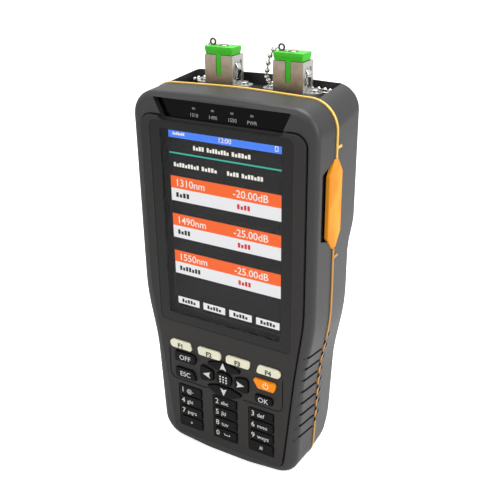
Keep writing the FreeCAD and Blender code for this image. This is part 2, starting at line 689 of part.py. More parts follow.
def battery_cover():
    """Lid of the battery bay, flush with the grip's back."""
    cover_y = GRIP_BACK_Y - COVER_THICKNESS
    lid = front_prism(cover_corners(0.0), cover_y, GRIP_BACK_Y)
    holes = []
    for x in (-COVER_SCREW_X, COVER_SCREW_X):
        holes.append(rod_y(x, COVER_SCREW_Z, SCREW_RADIUS + SCREW_CLEARANCE, cover_y - 1, BACK_Y))
        holes.append(rod_y(x, COVER_SCREW_Z, SCREW_HEAD_RADIUS + SCREW_CLEARANCE,
                           GRIP_BACK_Y - SCREW_HEAD_HEIGHT, BACK_Y))
    return lid.cut(holes)


def screw(x, z, seat_y, length):
    """Pan-head screw whose head rests at seat_y and whose shank points to the front."""
    shank = rod_y(x, z, SCREW_RADIUS, seat_y - length, seat_y)
    head = rod_y(x, z, SCREW_HEAD_RADIUS, seat_y, seat_y + SCREW_HEAD_HEIGHT)
    cross = box(x - 1.3, x + 1.3, seat_y + 0.7, seat_y + 3, z - 0.3, z + 0.3)
    bar = box(x - 0.3, x + 0.3, seat_y + 0.7, seat_y + 3, z - 1.3, z + 1.3)
    return fuse([shank, head]).cut([cross, bar])


def housing_screws():
    """The six screws that close the housing."""
    return [screw(x, z, SEAM_Y + SCREW_BEDDING, SCREW_LENGTH) for x, z in screw_places()]


def cover_screws():
    """The two screws of the battery cover."""
    seat_y = GRIP_BACK_Y - SCREW_HEAD_HEIGHT
    return [screw(x, COVER_SCREW_Z, seat_y, COVER_SCREW_LENGTH)
            for x in (-COVER_SCREW_X, COVER_SCREW_X)]


# ======================================================================================
# side port
# ======================================================================================
def port_corners(grow):
    """Side view of the port cover: a slim lozenge along the seam."""
    tip = PORT_TIP_HALF_WIDTH + grow
    half = PORT_HALF_WIDTH + grow
    top = PORT_TOP_Z + grow
    foot = PORT_FOOT_Z - grow
    return [
        (SEAM_Y - tip, foot, PORT_RADIUS / 2), (SEAM_Y + tip, foot, PORT_RADIUS / 2),
        (SEAM_Y + half, foot + PORT_SHOULDER, PORT_RADIUS),
        (SEAM_Y + half, top - PORT_SHOULDER, PORT_RADIUS),
        (SEAM_Y + tip, top, PORT_RADIUS / 2), (SEAM_Y - tip, top, PORT_RADIUS / 2),
        (SEAM_Y - half, top - PORT_SHOULDER, PORT_RADIUS),
        (SEAM_Y - half, foot + PORT_SHOULDER, PORT_RADIUS),
    ]


def port_prism(grow, x0, x1):
    """Port outline as a solid between two x planes."""
    return side_prism(port_corners(grow), x0, x1)


def usb_block(grow, x0, x1):
    """Rectangular form of the data socket."""
    return box(x0, x1, SEAM_Y - USB_HEIGHT / 2 - grow, SEAM_Y + USB_HEIGHT / 2 + grow,
               USB_Z - USB_WIDTH / 2 - grow, USB_Z + USB_WIDTH / 2 + grow)


def port_cuts():
    """Recess for the port cover and the openings of the two sockets."""
    inside = HALF_WIDTH - WALL - 2.0
    return [
        port_prism(PORT_GAP, HALF_WIDTH - PORT_RECESS, HALF_WIDTH + 3.0),
        usb_block(PORT_OPENING_GAP, inside, HALF_WIDTH),
        rod_x(SEAM_Y, JACK_Z, JACK_RADIUS - PORT_OPENING_GAP, inside, HALF_WIDTH),
    ]


def port_cover():
    """Rubber cover of the side port, with two stubs that keep it in place."""
    inner_x = HALF_WIDTH - PORT_RECESS + 0.05
    outer_x = HALF_WIDTH + PORT_BULGE
    plate = port_prism(0.0, inner_x, outer_x)
    rim = [e for e in plate.Edges if e.BoundBox.XMin > outer_x - 0.01]
    plate = plate.makeFillet(PORT_RIM_RADIUS, rim)
    stub_x = HALF_WIDTH - PORT_RECESS - PLUG_STUB
    usb_stub = usb_block(-0.3, stub_x, inner_x + 0.2)
    jack_stub = rod_x(SEAM_Y, JACK_Z, JACK_BORE - 0.3, stub_x, inner_x + 0.2)
    return fuse([plate, usb_stub, jack_stub])


def finger_notch():
    """Notch beside the cover, where a finger nail lifts it."""
    y1 = SEAM_Y - PORT_TIP_HALF_WIDTH
    y0 = SEAM_Y - PORT_HALF_WIDTH - NOTCH_WIDTH
    foot = PORT_FOOT_Z + NOTCH_FOOT_END
    top = PORT_TOP_Z - NOTCH_TOP_END
    outline = [(y0, foot, 0.8), (y1, foot - NOTCH_SLANT, 0.0), (y1, top + NOTCH_SLANT, 0.0),
               (y0, top, 0.8)]
    return side_prism(outline, HALF_WIDTH - FRONT_DRAFT / 2 - NOTCH_DEPTH, HALF_WIDTH + 3.0)


def usb_socket():
    """Data socket: a metal shell with its tongue."""
    x1 = HALF_WIDTH - SOCKET_INSET
    shell = usb_block(0.0, x1 - USB_LENGTH, x1)
    shell = shell.cut(usb_block(-0.4, x1 - USB_LENGTH + 0.5, x1 + 1))
    tongue = box(x1 - USB_LENGTH + 0.4, x1 - 1.5, SEAM_Y - 0.35, SEAM_Y + 0.35,
                 USB_Z - 2.6, USB_Z + 2.6)
    return fuse([shell, tongue])


def usb_riser():
    """Block that lifts the data socket from the main board to the seam."""
    x1 = HALF_WIDTH - SOCKET_INSET
    return box(x1 - USB_LENGTH - 3.0, x1 - 0.8, BOARD_Y + BOARD_THICKNESS, SEAM_Y - USB_HEIGHT / 2,
               USB_Z - USB_WIDTH / 2, USB_Z + USB_WIDTH / 2)


def charging_jack():
    """Charging socket on the main board."""
    x1 = HALF_WIDTH - SOCKET_INSET
    half = JACK_RADIUS + 0.7
    body = box(x1 - JACK_LENGTH - 2.0, x1, BOARD_Y + BOARD_THICKNESS, SEAM_Y + half,
               JACK_Z - half, JACK_Z + half)
    body = body.cut(rod_x(SEAM_Y, JACK_Z, JACK_BORE, x1 - JACK_LENGTH, x1 + 1))
    pin = rod_x(SEAM_Y, JACK_Z, JACK_PIN, x1 - JACK_LENGTH - 0.5, x1 - 1.5)
    return fuse([body, pin])


# ======================================================================================
# front panel, windows and screen
# ======================================================================================
def panel_corners(grow):
    """Outline of the front panel, grown by grow."""
    return mirrored([
        (PANEL_HALF_WIDTH - PANEL_FOOT_INSET + grow, PANEL_FOOT_Z - grow, PANEL_FOOT_RADIUS + grow),
        (PANEL_HALF_WIDTH - PANEL_WAIST_INSET + grow, TAPER_FOOT_Z + PANEL_WAIST_RISE,
         PANEL_TAPER_RADIUS),
        (PANEL_HALF_WIDTH + grow, TAPER_TOP_Z + PANEL_TAPER_RISE, PANEL_TAPER_RADIUS),
        (PANEL_HALF_WIDTH + grow, PANEL_TOP_Z + grow, PANEL_TOP_RADIUS + grow),
    ])


def indicator_corners(grow):
    """Outline of the indicator window: wide at the top."""
    radius = INDICATOR_CORNER + max(grow, -0.5)
    return mirrored([
        (INDICATOR_FOOT_HALF_WIDTH + grow, INDICATOR_FOOT_Z - grow, 2.0 * radius),
        (INDICATOR_TOP_HALF_WIDTH + grow, INDICATOR_TOP_Z + grow, radius / 2),
    ])


def led_places():
    """x positions of the indicator lamps."""
    return [(i - (LED_COUNT - 1) / 2) * LED_PITCH for i in range(LED_COUNT)]


def indicator_window():
    """Dark window with holes for the lamps."""
    window = front_prism(indicator_corners(-0.05), INDICATOR_Y, INDICATOR_Y + INDICATOR_THICKNESS)
    holes = [rod_y(x, LED_Z, LED_RADIUS + 0.05, INDICATOR_Y - 1, INDICATOR_Y + 3)
             for x in led_places()]
    return window.cut(holes)


def indicator_leds():
    """Light pipes of the four lamps."""
    return [rod_y(x, LED_Z, LED_RADIUS, INDICATOR_Y - 0.1, INDICATOR_Y + INDICATOR_THICKNESS + 0.5)
            for x in led_places()]


def indicator_board():
    """Small board behind the lamps."""
    y0 = INDICATOR_Y + INDICATOR_THICKNESS + 0.5
    reach = LED_PITCH * LED_COUNT / 2 + 3.0
    return front_prism(rectangle(-reach, reach, LED_Z - 3.0, LED_Z + 2.0, 1.0), y0, y0 + 1.0)


def window_corners(grow):
    """Outline of the display window."""
    half = SCREEN_WIDTH / 2 + WINDOW_BORDER_SIDE + grow
    foot = SCREEN_TOP_Z - SCREEN_HEIGHT - WINDOW_BORDER_FOOT - grow
    return rectangle(-half, half, foot, SCREEN_TOP_Z + WINDOW_BORDER_TOP + grow,
                     WINDOW_RADIUS + grow)


def front_panel(keys):
    """Front panel: display opening, key holes, key troughs and the dividing groove."""
    panel = front_prism(panel_corners(0.0), PANEL_FRONT_Y, PANEL_BACK_Y)
    panel = panel.makeFillet(0.4, edges_at_depth(panel, PANEL_FRONT_Y))
    window_y = PANEL_FRONT_Y + WINDOW_SINK
    cuts = [front_prism(window_corners(WINDOW_GAP), PANEL_FRONT_Y - 1, window_y + WINDOW_THICKNESS)]
    cuts.append(front_prism(window_corners(-WINDOW_LEDGE), PANEL_FRONT_Y, PANEL_BACK_Y + 1))
    cuts.append(front_prism(indicator_corners(INDICATOR_RIM), PANEL_FRONT_Y - 1, PANEL_BACK_Y + 1))
    for column in (-1, 0, 1):
        x = column * NUMBER_PITCH_X
        half = NUMBER_WIDTH / 2 + COLUMN_MARGIN
        top = NUMBER_TOP_Z + NUMBER_HEIGHT / 2 + COLUMN_MARGIN / 2
        foot = NUMBER_TOP_Z - 3 * NUMBER_PITCH_Z - NUMBER_HEIGHT / 2 - COLUMN_MARGIN
        cuts.append(front_prism(rectangle(x - half, x + half, foot, top, 0.8), PANEL_FRONT_Y - 1,
                                PANEL_FRONT_Y + COLUMN_SINK))
    cuts.append(divider_groove())
    for wire, top_y in keys.values():
        hole = Part.Face(wire.makeOffset2D(KEY_GAP))
        hole.translate(FreeCAD.Vector(0, PANEL_FRONT_Y - 1 - KEY_BACK_Y, 0))
        cuts.append(hole.extrude(FreeCAD.Vector(0, 6, 0)))
    return panel.cut(cuts).removeSplitter()


def divider_groove():
    """Fine groove that divides the upper keys from the number keys."""
    half = DIVIDER_HALF_WIDTH

    def area(grow):
        corners = rectangle(-half - grow, half + grow, DIVIDER_Z - grow, DIVIDER_TOP_Z + 20.0,
                            3.0 + grow)
        return front_prism(corners, PANEL_FRONT_Y - 1, PANEL_FRONT_Y + DIVIDER_DEPTH)

    ring = area(DIVIDER_WIDTH / 2).cut(area(-DIVIDER_WIDTH / 2))
    reach = NUMBER_PITCH_X
    keep = box(-60, 60, PANEL_FRONT_Y - 2, PANEL_FRONT_Y + 2, DIVIDER_Z - 2, DIVIDER_TOP_Z)
    middle = box(-reach / 2, reach / 2, PANEL_FRONT_Y - 2, PANEL_FRONT_Y + 2,
                 DIVIDER_Z - 2, DIVIDER_Z + 2)
    return ring.common(keep).cut(middle)


def display_window():
    """Clear window over the screen."""
    window_y = PANEL_FRONT_Y + WINDOW_SINK
    return front_prism(window_corners(0.0), window_y, window_y + WINDOW_THICKNESS)


def screen_corners(grow, top_z=SCREEN_TOP_Z):
    """Outline of the screen's picture area."""
    return rectangle(-SCREEN_WIDTH / 2 - grow, SCREEN_WIDTH / 2 + grow,
                     top_z - SCREEN_HEIGHT - grow, top_z + grow, 0.4)


def lcd_panel():
    """Liquid-crystal glass."""
    return front_prism(screen_corners(LCD_MARGIN), 0.0, LCD_THICKNESS)


def lcd_backlight():
    """Light guide behind the glass."""
    return front_prism(screen_corners(LCD_MARGIN), LCD_THICKNESS, LCD_THICKNESS + BACKLIGHT_THICKNESS)


def lcd_frame():
    """Tray with a thin front lip that holds the glass and the light guide."""
    outer = LCD_MARGIN + LCD_FRAME_WALL
    tray = front_prism(screen_corners(outer), -LCD_FRAME_LIP, LCD_FRAME_BACK_Y)
    hollow = front_prism(screen_corners(LCD_MARGIN), 0.0, LCD_THICKNESS + BACKLIGHT_THICKNESS)
    return tray.cut([hollow, front_prism(screen_corners(0.0), -LCD_FRAME_LIP - 1, 1.0)])


# ======================================================================================
# keys
# ======================================================================================
def key_wires():
    """Outline of each key on the plane of the keys' backs, with the depth of its top."""
    place = front(KEY_BACK_Y)
    shapes = {}
    slant = SOFT_SLANT
    z0 = SOFT_Z - SOFT_HEIGHT / 2
    z1 = SOFT_Z + SOFT_HEIGHT / 2
    outer_end = SOFT_HEIGHT / 2 - 0.05
    inner_x = SOFT_OUTER_X - SOFT_OUTER_WIDTH
    left_outer = [(-inner_x, z0, 0.9), (-inner_x - slant, z1, 0.9),
                  (-SOFT_OUTER_X, z1, outer_end), (-SOFT_OUTER_X, z0, outer_end)]
    shapes["key_f1"] = left_outer
    shapes["key_f4"] = [(-x, z, r) for x, z, r in reversed(left_outer)]
    left_inner = [(-SOFT_INNER_X + slant / 2, z0, 1.0), (-SOFT_INNER_X + SOFT_INNER_WIDTH, z0, 1.0),
                  (-SOFT_INNER_X + SOFT_INNER_WIDTH, z1, 1.4), (-SOFT_INNER_X, z1, 1.0)]
    shapes["key_f2"] = left_inner
    shapes["key_f3"] = [(-x, z, r) for x, z, r in reversed(left_inner)]
    half = WING_HEIGHT / 2
    shapes["key_off"] = [(-WING_OUTER_X, OFF_Z - half, 1.0), (-WING_INNER_X, OFF_Z - half, 1.2),
                         (-WING_INNER_X + WING_SLANT / 2, OFF_Z + 0.2 * half, 1.0),
                         (-WING_INNER_X, OFF_Z + half, 1.0), (-WING_OUTER_X, OFF_Z + half, 1.0)]
    shapes["key_escape"] = [(-WING_OUTER_X, ESCAPE_Z - half, 1.0),
                            (-WING_INNER_X + WING_SLANT / 2, ESCAPE_Z - half, 1.0),
                            (-WING_INNER_X - WING_SLANT / 2, ESCAPE_Z + half, 1.6),
                            (-WING_OUTER_X, ESCAPE_Z + half, 1.0)]
    shapes["key_ok"] = rectangle(OK_INNER_X, OK_INNER_X + OK_WIDTH, OK_Z - OK_HEIGHT / 2,
                                 OK_Z + OK_HEIGHT / 2, 1.0)
    half = POWER_HEIGHT / 2
    shapes["key_power"] = [(POWER_INNER_X + POWER_SLANT, POWER_Z - half, 1.0),
                           (POWER_OUTER_X - 1.0, POWER_Z - half, 1.0),
                           (POWER_OUTER_X, POWER_Z + half, 1.2), (POWER_INNER_X, POWER_Z + half, 0.9)]
    inner_z = CENTRE_HEIGHT / 2 + 0.7
    for name, sign, peak in (("key_up", 1, ARROW_UP_PEAK), ("key_down", -1, ARROW_DOWN_PEAK)):
        near = PAD_Z + sign * inner_z
        tip = PAD_Z + sign * ARROW_TIP_Z
        top = PAD_Z + sign * peak
        arrow = [(-ARROW_FOOT_X, near, 1.5), (ARROW_FOOT_X, near, 1.5), (ARROW_REACH_X, tip, 0.7),
                 (ARROW_SHOULDER_X, top, 4.0), (-ARROW_SHOULDER_X, top, 4.0),
                 (-ARROW_REACH_X, tip, 0.7)]
        shapes[name] = arrow if sign > 0 else arrow[::-1]
    left = [(-SIDE_ARROW_FAR_X, PAD_Z - SIDE_ARROW_FAR_HALF, 1.6),
            (-SIDE_ARROW_NEAR_X, PAD_Z - SIDE_ARROW_NEAR_HALF, 1.6),
            (-SIDE_ARROW_NEAR_X, PAD_Z + SIDE_ARROW_NEAR_HALF, 1.6),
            (-SIDE_ARROW_FAR_X, PAD_Z + SIDE_ARROW_FAR_HALF, 1.6)]
    shapes["key_left"] = left
    shapes["key_right"] = [(-x, z, r) for x, z, r in reversed(left)]
    shapes["key_centre"] = rectangle(-CENTRE_WIDTH / 2, CENTRE_WIDTH / 2, PAD_Z - CENTRE_HEIGHT / 2,
                                     PAD_Z + CENTRE_HEIGHT / 2, 2.9)
    wires = {}
    for name, corners in shapes.items():
        top_y = SOFT_KEY_TOP_Y if name.startswith("key_f") else KEY_TOP_Y
        wires[name] = (rounded_wire(corners, place), top_y)
    for row, names in enumerate(NUMBER_NAMES):
        z = NUMBER_TOP_Z - row * NUMBER_PITCH_Z
        for column, name in enumerate(names):
            x = (column - 1) * NUMBER_PITCH_X
            corners = rectangle(x - NUMBER_WIDTH / 2, x + NUMBER_WIDTH / 2, z - NUMBER_HEIGHT / 2,
                                z + NUMBER_HEIGHT / 2, 0.6)
            wires[name] = (rounded_wire(corners, place), NUMBER_TOP_Y)
    return wires


def key_cap(wire, top_y):
    """Key cap with a softened top edge."""
    cap = Part.Face(wire).extrude(FreeCAD.Vector(0, top_y - KEY_BACK_Y, 0))
    return cap.makeFillet(KEY_EDGE_RADIUS, edges_at_depth(cap, top_y))


def keypad_mat():
    """Switch mat behind the keys."""
    y0 = KEY_BACK_Y + KEY_TRAVEL + MAT_CLEARANCE
    corners = mirrored([(MAT_HALF_WIDTH - 3.5, MAT_FOOT_Z, 2.0), (MAT_HALF_WIDTH, MAT_TOP_Z, 2.0)])
    return front_prism(corners, y0, y0 + MAT_THICKNESS)


def keypad_board():
    """Contact board behind the mat."""
    y0 = KEY_BACK_Y + KEY_TRAVEL + MAT_CLEARANCE + MAT_THICKNESS
    corners = mirrored([(MAT_HALF_WIDTH - 3.5, MAT_FOOT_Z, 2.0), (MAT_HALF_WIDTH, MAT_TOP_Z, 2.0)])
    return front_prism(corners, y0, y0 + KEY_BOARD_THICKNESS)


# ======================================================================================
# boards and battery
# ======================================================================================
def main_board():
    """Main circuit board, shaped to the taper of the body."""
    corners = mirrored([
        (HALF_WIDTH - BOARD_MARGIN - BOARD_FOOT_INSET, BOARD_FOOT_Z, BOARD_CORNER),
        (HALF_WIDTH - BOARD_MARGIN, TAPER_TOP_Z, BOARD_CORNER),
        (HALF_WIDTH - BOARD_MARGIN, BOARD_TOP_Z, BOARD_CORNER),
    ])
    return front_prism(corners, BOARD_Y, BOARD_Y + BOARD_THICKNESS)


def board_spacers():
    """Four posts between the contact board and the main board."""
    y0 = KEY_BACK_Y + KEY_TRAVEL + MAT_CLEARANCE + MAT_THICKNESS + KEY_BOARD_THICKNESS
    return [rod_y(x, z, SPACER_RADIUS, y0, BOARD_Y) for x in (-SPACER_X, SPACER_X)
            for z in SPACER_ZS]


def shield_can():
    """Screening can over the measuring circuit."""
    y0 = BOARD_Y + BOARD_THICKNESS
    half = SHIELD_WIDTH / 2
    can = front_prism(rectangle(-half, half, SHIELD_Z - SHIELD_HEIGHT / 2,
                                SHIELD_Z + SHIELD_HEIGHT / 2, 1.0), y0, y0 + SHIELD_DEPTH)
    inner = half - SHIELD_WALL
    hollow = front_prism(rectangle(-inner, inner, SHIELD_Z - SHIELD_HEIGHT / 2 + SHIELD_WALL,
                                   SHIELD_Z + SHIELD_HEIGHT / 2 - SHIELD_WALL, 0.8),
                         y0 - 1, y0 + SHIELD_DEPTH - SHIELD_WALL)
    return can.cut(hollow)


def battery_pack():
    """Rechargeable pack in its bay."""
    half = BATTERY_WIDTH / 2
    y0 = SEAM_Y + BAY_WALL + BAY_GAP
    return front_prism(rectangle(-half, half, BATTERY_FOOT_Z, BATTERY_FOOT_Z + BATTERY_HEIGHT,
                                 BATTERY_RADIUS), y0, y0 + BATTERY_THICKNESS)


# ======================================================================================
# adapters, dust caps and chains
# ======================================================================================
def adapter_middle_y():
    """Depth of the adapters' axes."""
    return ADAPTER_FRONT_Y + ADAPTER_DEPTH / 2


def adapter_block(x, grow, z0, z1):
    """Rectangular form of an adapter."""
    return box(x - ADAPTER_WIDTH / 2 - grow, x + ADAPTER_WIDTH / 2 + grow, ADAPTER_FRONT_Y - grow,
               ADAPTER_FRONT_Y + ADAPTER_DEPTH + grow, z0, z1)


def connector_plate():
    """Plate in the pocket's floor that carries the adapters."""
    half = POCKET_HALF_WIDTH - 0.1
    y0 = SEAM_Y + SEAM_WIDTH / 2 + 0.1
    back_radius = POCKET_RADIUS - 0.1
    corners = [(-half, y0, 0.5), (half, y0, 0.5), (half, POCKET_BACK_Y - 0.1, back_radius),
               (-half, POCKET_BACK_Y - 0.1, back_radius)]
    plate = level_prism(corners, POCKET_FLOOR_Z, PLATE_TOP_Z)
    cuts = []
    for sign in (-1, 1):
        x = sign * ADAPTER_X
        cuts.append(adapter_block(x, FIT_GAP, POCKET_FLOOR_Z - 1, PLATE_TOP_Z + 1))
        for hole_x in (x - FLANGE_HOLE_X, x + FLANGE_HOLE_X):
            cuts.append(rod_z(hole_x, adapter_middle_y(), FLANGE_SCREW_RADIUS + 0.05,
                              POCKET_FLOOR_Z - 1, PLATE_TOP_Z + 1))
    return plate.cut(cuts)


def keyway(x, grow, y0, y1):
    """Slot with a round foot in the front wall of an adapter."""
    half = KEYWAY_WIDTH / 2 + grow
    slot = box(x - half, x + half, y0, y1, KEYWAY_FOOT_Z + KEYWAY_WIDTH / 2, ADAPTER_TOP_Z + 1)
    foot = rod_y(x, KEYWAY_FOOT_Z + KEYWAY_WIDTH / 2, half, y0, y1)
    return slot.fuse(foot)


def adapter_shell(x):
    """Metal adapter: rectangular sleeve with keyway, flange and partition."""
    y = adapter_middle_y()
    reach = FLANGE_HOLE_X
    z0 = PLATE_TOP_Z
    lobes = [rod_z(x - reach, y, FLANGE_END_RADIUS, z0, z0 + FLANGE_THICKNESS),
             rod_z(x + reach, y, FLANGE_END_RADIUS, z0, z0 + FLANGE_THICKNESS),
             box(x - reach, x + reach, y - FLANGE_END_RADIUS, y + FLANGE_END_RADIUS, z0,
                 z0 + FLANGE_THICKNESS)]
    body = fuse([adapter_block(x, 0.0, ADAPTER_FOOT_Z, ADAPTER_TOP_Z)] + lobes)
    cuts = [adapter_block(x, -ADAPTER_WALL, ADAPTER_FLOOR_Z, ADAPTER_TOP_Z + 1),
            adapter_block(x, -ADAPTER_WALL, ADAPTER_FOOT_Z - 1, ADAPTER_FLOOR_Z - PARTITION_THICKNESS),
            rod_z(x, y, SLEEVE_RADIUS, ADAPTER_FLOOR_Z - 4, ADAPTER_FLOOR_Z + 1),
            keyway(x, 0.0, ADAPTER_FRONT_Y - 1, ADAPTER_FRONT_Y + ADAPTER_WALL + 0.5)]
    for hole_x in (x - reach, x + reach):
        cuts.append(rod_z(hole_x, y, FLANGE_SCREW_RADIUS + 0.05, z0 - 1, z0 + 3))
    side_x = x + ADAPTER_WIDTH / 2
    cuts.append(box(side_x - 0.45, side_x + 1, y - SPRING_WIDTH / 2, y + SPRING_WIDTH / 2,
                    SPRING_FOOT_Z, SPRING_TOP_Z))
    return body.cut(cuts).removeSplitter()


def ferrule_sleeve(x):
    """Ceramic sleeve that lines up the ferrules."""
    y = adapter_middle_y()
    z1 = ADAPTER_FLOOR_Z + SLEEVE_RISE
    z0 = z1 - SLEEVE_LENGTH
    return rod_z(x, y, SLEEVE_RADIUS, z0, z1).cut(rod_z(x, y, SLEEVE_BORE, z0 - 1, z1 + 1))


def latch_spring(x):
    """Bright side spring: a frame with a bowed tongue."""
    y = adapter_middle_y()
    x0 = x + ADAPTER_WIDTH / 2 - 0.45
    x1 = x0 + SPRING_THICKNESS
    frame = box(x0, x1, y - SPRING_WIDTH / 2, y + SPRING_WIDTH / 2, SPRING_FOOT_Z, SPRING_TOP_Z)
    half = SPRING_TONGUE_WIDTH / 2
    foot = SPRING_FOOT_Z + 1.2
    top = SPRING_TOP_Z - 1.2
    frame = frame.cut(box(x0 - 1, x1 + 1, y - half - 0.4, y + half + 0.4, foot, top))
    bow_z = top - 2.2
    bow_x = x1 + SPRING_BULGE
    t = SPRING_THICKNESS
    outline = [(x0, foot - 0.2, 0.0), (x1, foot - 0.2, 0.0), (bow_x, bow_z, 0.8), (x1 + 0.2, top - 0.3, 0.0),
               (x1 + 0.2 - t, top - 0.3, 0.0), (bow_x - t, bow_z - 0.1, 0.5)]
    face = Part.Face(rounded_wire(outline, front(y - half)))
    tongue = face.extrude(FreeCAD.Vector(0, SPRING_TONGUE_WIDTH, 0))
    return fuse([frame, tongue])


def flange_screws():
    """The four screws that hold the adapters to the plate."""
    screws = []
    y = adapter_middle_y()
    z = PLATE_TOP_Z + FLANGE_THICKNESS
    for x in (-ADAPTER_X - FLANGE_HOLE_X, -ADAPTER_X + FLANGE_HOLE_X, ADAPTER_X - FLANGE_HOLE_X,
              ADAPTER_X + FLANGE_HOLE_X):
        shank = rod_z(x, y, FLANGE_SCREW_RADIUS, POCKET_FLOOR_Z + 0.1, z)
        head = rod_z(x, y, FLANGE_HEAD_RADIUS, z, z + FLANGE_HEAD_HEIGHT)
        head = head.makeFillet(0.4, [e for e in head.Edges if e.BoundBox.ZMin > z + 0.5
                                     and e.BoundBox.XLength > 1])
        slot = box(x - 1.1, x + 1.1, y - 0.2, y + 0.2, z + 0.6, z + 3)
        screws.append(fuse([shank, head]).cut(slot))
    return screws


def detector(x):
    """Photodiode can below an adapter."""
    return rod_z(x, adapter_middle_y(), DETECTOR_RADIUS, ADAPTER_FOOT_Z - DETECTOR_HEIGHT,
                 ADAPTER_FOOT_Z)


def dust_cap(x):
    """Dust cap: head with slanted sides, plug and the tongue that fills the keyway."""
    y = adapter_middle_y()
    z0 = ADAPTER_TOP_Z + CAP_SEAT_GAP
    z1 = z0 + CAP_HEIGHT
    edge_z = z0 + CAP_WAIST * CAP_HEIGHT

    def outline(inset):
        x0 = x + CAP_OFFSET_X - CAP_WIDTH / 2 + inset
        y0 = y - CAP_DEPTH / 2 + inset
        return rectangle(x0, x0 + CAP_WIDTH - 2 * inset, y0, y0 + CAP_DEPTH - 2 * inset, 0.5)

    head = Part.makeLoft([rounded_wire(outline(CAP_UNDERCUT), level(z0)),
                          rounded_wire(outline(0.0), level(edge_z))], True, True)
    crown = level_prism(outline(0.0), edge_z, z1)
    half_x = CAP_PLUG_WIDTH / 2
    half_y = ADAPTER_DEPTH / 2 - ADAPTER_WALL - CAP_PLUG_GAP
    foot = ADAPTER_TOP_Z - CAP_PLUG_LENGTH
    plug = box(x - half_x, x + half_x, y - half_y, y + half_y, foot, z0 + 0.2)
    half_x -= CAP_PLUG_WALL
    half_y -= CAP_PLUG_WALL
    hollow = box(x - half_x, x + half_x, y - half_y, y + half_y, foot - 1, z0)
    tongue = keyway(x, -CAP_TONGUE_GAP, ADAPTER_FRONT_Y + 0.1, ADAPTER_FRONT_Y + 1.6)
    tongue = tongue.common(box(x - 5, x + 5, ADAPTER_FRONT_Y, y, KEYWAY_FOOT_Z, z0 + 0.2))
    return fuse([head, crown, plug.cut(hollow), tongue])


def cap_top_z():
    """Height of a dust cap's upper face."""
    return ADAPTER_TOP_Z + CAP_SEAT_GAP + CAP_HEIGHT


def cap_tab(x):
    """Flat tab riveted to the cap, with an upright ring for the chain."""
    y = adapter_middle_y()
    z = cap_top_z()
    tab = box(x + RING_X - 0.6, x, y - TAB_WIDTH / 2, y + TAB_WIDTH / 2, z, z + TAB_THICKNESS)
    tab = tab.fuse(rod_z(x, y, RIVET_RADIUS - 0.2, z, z + TAB_THICKNESS))
    ring = Part.makeTorus(RING_RADIUS - RING_WIRE, RING_WIRE,
                          FreeCAD.Vector(x + RING_X, y, z + TAB_THICKNESS + RING_RADIUS - 0.15),
                          FreeCAD.Vector(0, 1, 0))
    return fuse([tab, ring])


def cap_rivet(x):
    """Rivet head over the tab."""
    y = adapter_middle_y()
    z = cap_top_z() + TAB_THICKNESS
    head = rod_z(x, y, RIVET_RADIUS, z, z + RIVET_HEIGHT)
    return head.makeFillet(0.3, [e for e in head.Edges if e.BoundBox.ZMin > z + 0.1
                                 and e.BoundBox.XLength > 1])


def draped_route(x):
    """Route of a ball chain that hangs beside its adapter and lies behind it."""
    y = adapter_middle_y()
    top = cap_top_z()
    rest = PLATE_TOP_Z + BALL_RADIUS + BALL_GAP
    return [FreeCAD.Vector(*point) for point in (
        (x - 8.0, y - 0.4, top + 0.2),
        (x - 9.5, y - 0.5, top - 2.0),
        (x - 10.5, y - 0.6, top - 5.6),
        (x - 11.1, y - 0.5, rest + 4.2),
        (x - 11.6, y + 2.0, rest + 2.2),
        (x - 10.9, y + 5.2, rest + 0.3),
        (x - 8.4, BALL_BACK_Y, rest),
        (x + 8.0, BALL_BACK_Y + 0.1, rest),
        (x + 12.4, BALL_BACK_Y - 0.6, rest),
        (x + 14.6, y + 3.7, rest),
        (x + 14.5, y + 0.4, rest),
    )]


def dropped_route(x):
    """Route of a ball chain that drops behind its adapter and ends beside it."""
    y = adapter_middle_y()
    top = cap_top_z()
    rest = PLATE_TOP_Z + BALL_RADIUS + BALL_GAP
    return [FreeCAD.Vector(*point) for point in (
        (x - 8.1, y + 0.9, top - 0.9),
        (x - 8.1, y + 3.6, top - 3.4),
        (x - 6.6, y + 6.0, top - 8.0),
        (x - 5.8, y + 6.2, rest + 1.6),
        (x - 7.6, BALL_BACK_Y, rest),
        (x - 12.4, BALL_BACK_Y - 0.6, rest),
        (x - 14.6, y + 3.7, rest),
        (x - 14.5, y + 0.4, rest),
    )]


def along(route, pitch):
    """Points on a polyline at equal steps of about the pitch, with both of its ends."""
    runs = [end - start for start, end in zip(route, route[1:])]
    total = sum(run.Length for run in runs)
    step = total / int(total / pitch + 0.5)
    points = [route[0]]
    place = step
    for start, run in zip(route, runs):
        while place < run.Length - 0.01:
            points.append(start + run * (place / run.Length))
            place += step
        place -= run.Length
    return points + [route[-1]]


def ball_chain(x, route, side):
    """Chain of balls on short links, with a flat end at the flange screw on one side."""
    centres = along(route, BALL_PITCH)
    pieces = [Part.makeSphere(BALL_RADIUS, centre, BALL_AXIS) for centre in centres]
    for start, end in zip(centres, centres[1:]):
        pieces.append(Part.makeCylinder(LINK_RADIUS, (end - start).Length, start, end - start))
    y = adapter_middle_y()
    z = PLATE_TOP_Z + FLANGE_THICKNESS
    ends = sorted((x + side * (FLANGE_HOLE_X + FLANGE_HEAD_RADIUS + 0.1),
                   centres[-1].x - side * 0.4))
    pieces.append(box(ends[0], ends[1], y - 0.6, y + 0.6, z + 0.02, z + TAB_THICKNESS))
    ring_end = FreeCAD.Vector(x + RING_X - RING_RADIUS - HOOK_GAP, y,
                              cap_top_z() + TAB_THICKNESS + RING_RADIUS)
    hook = ring_end - centres[0]
    pieces.append(Part.makeCylinder(LINK_RADIUS, hook.Length, centres[0], hook))
    return fuse(pieces)


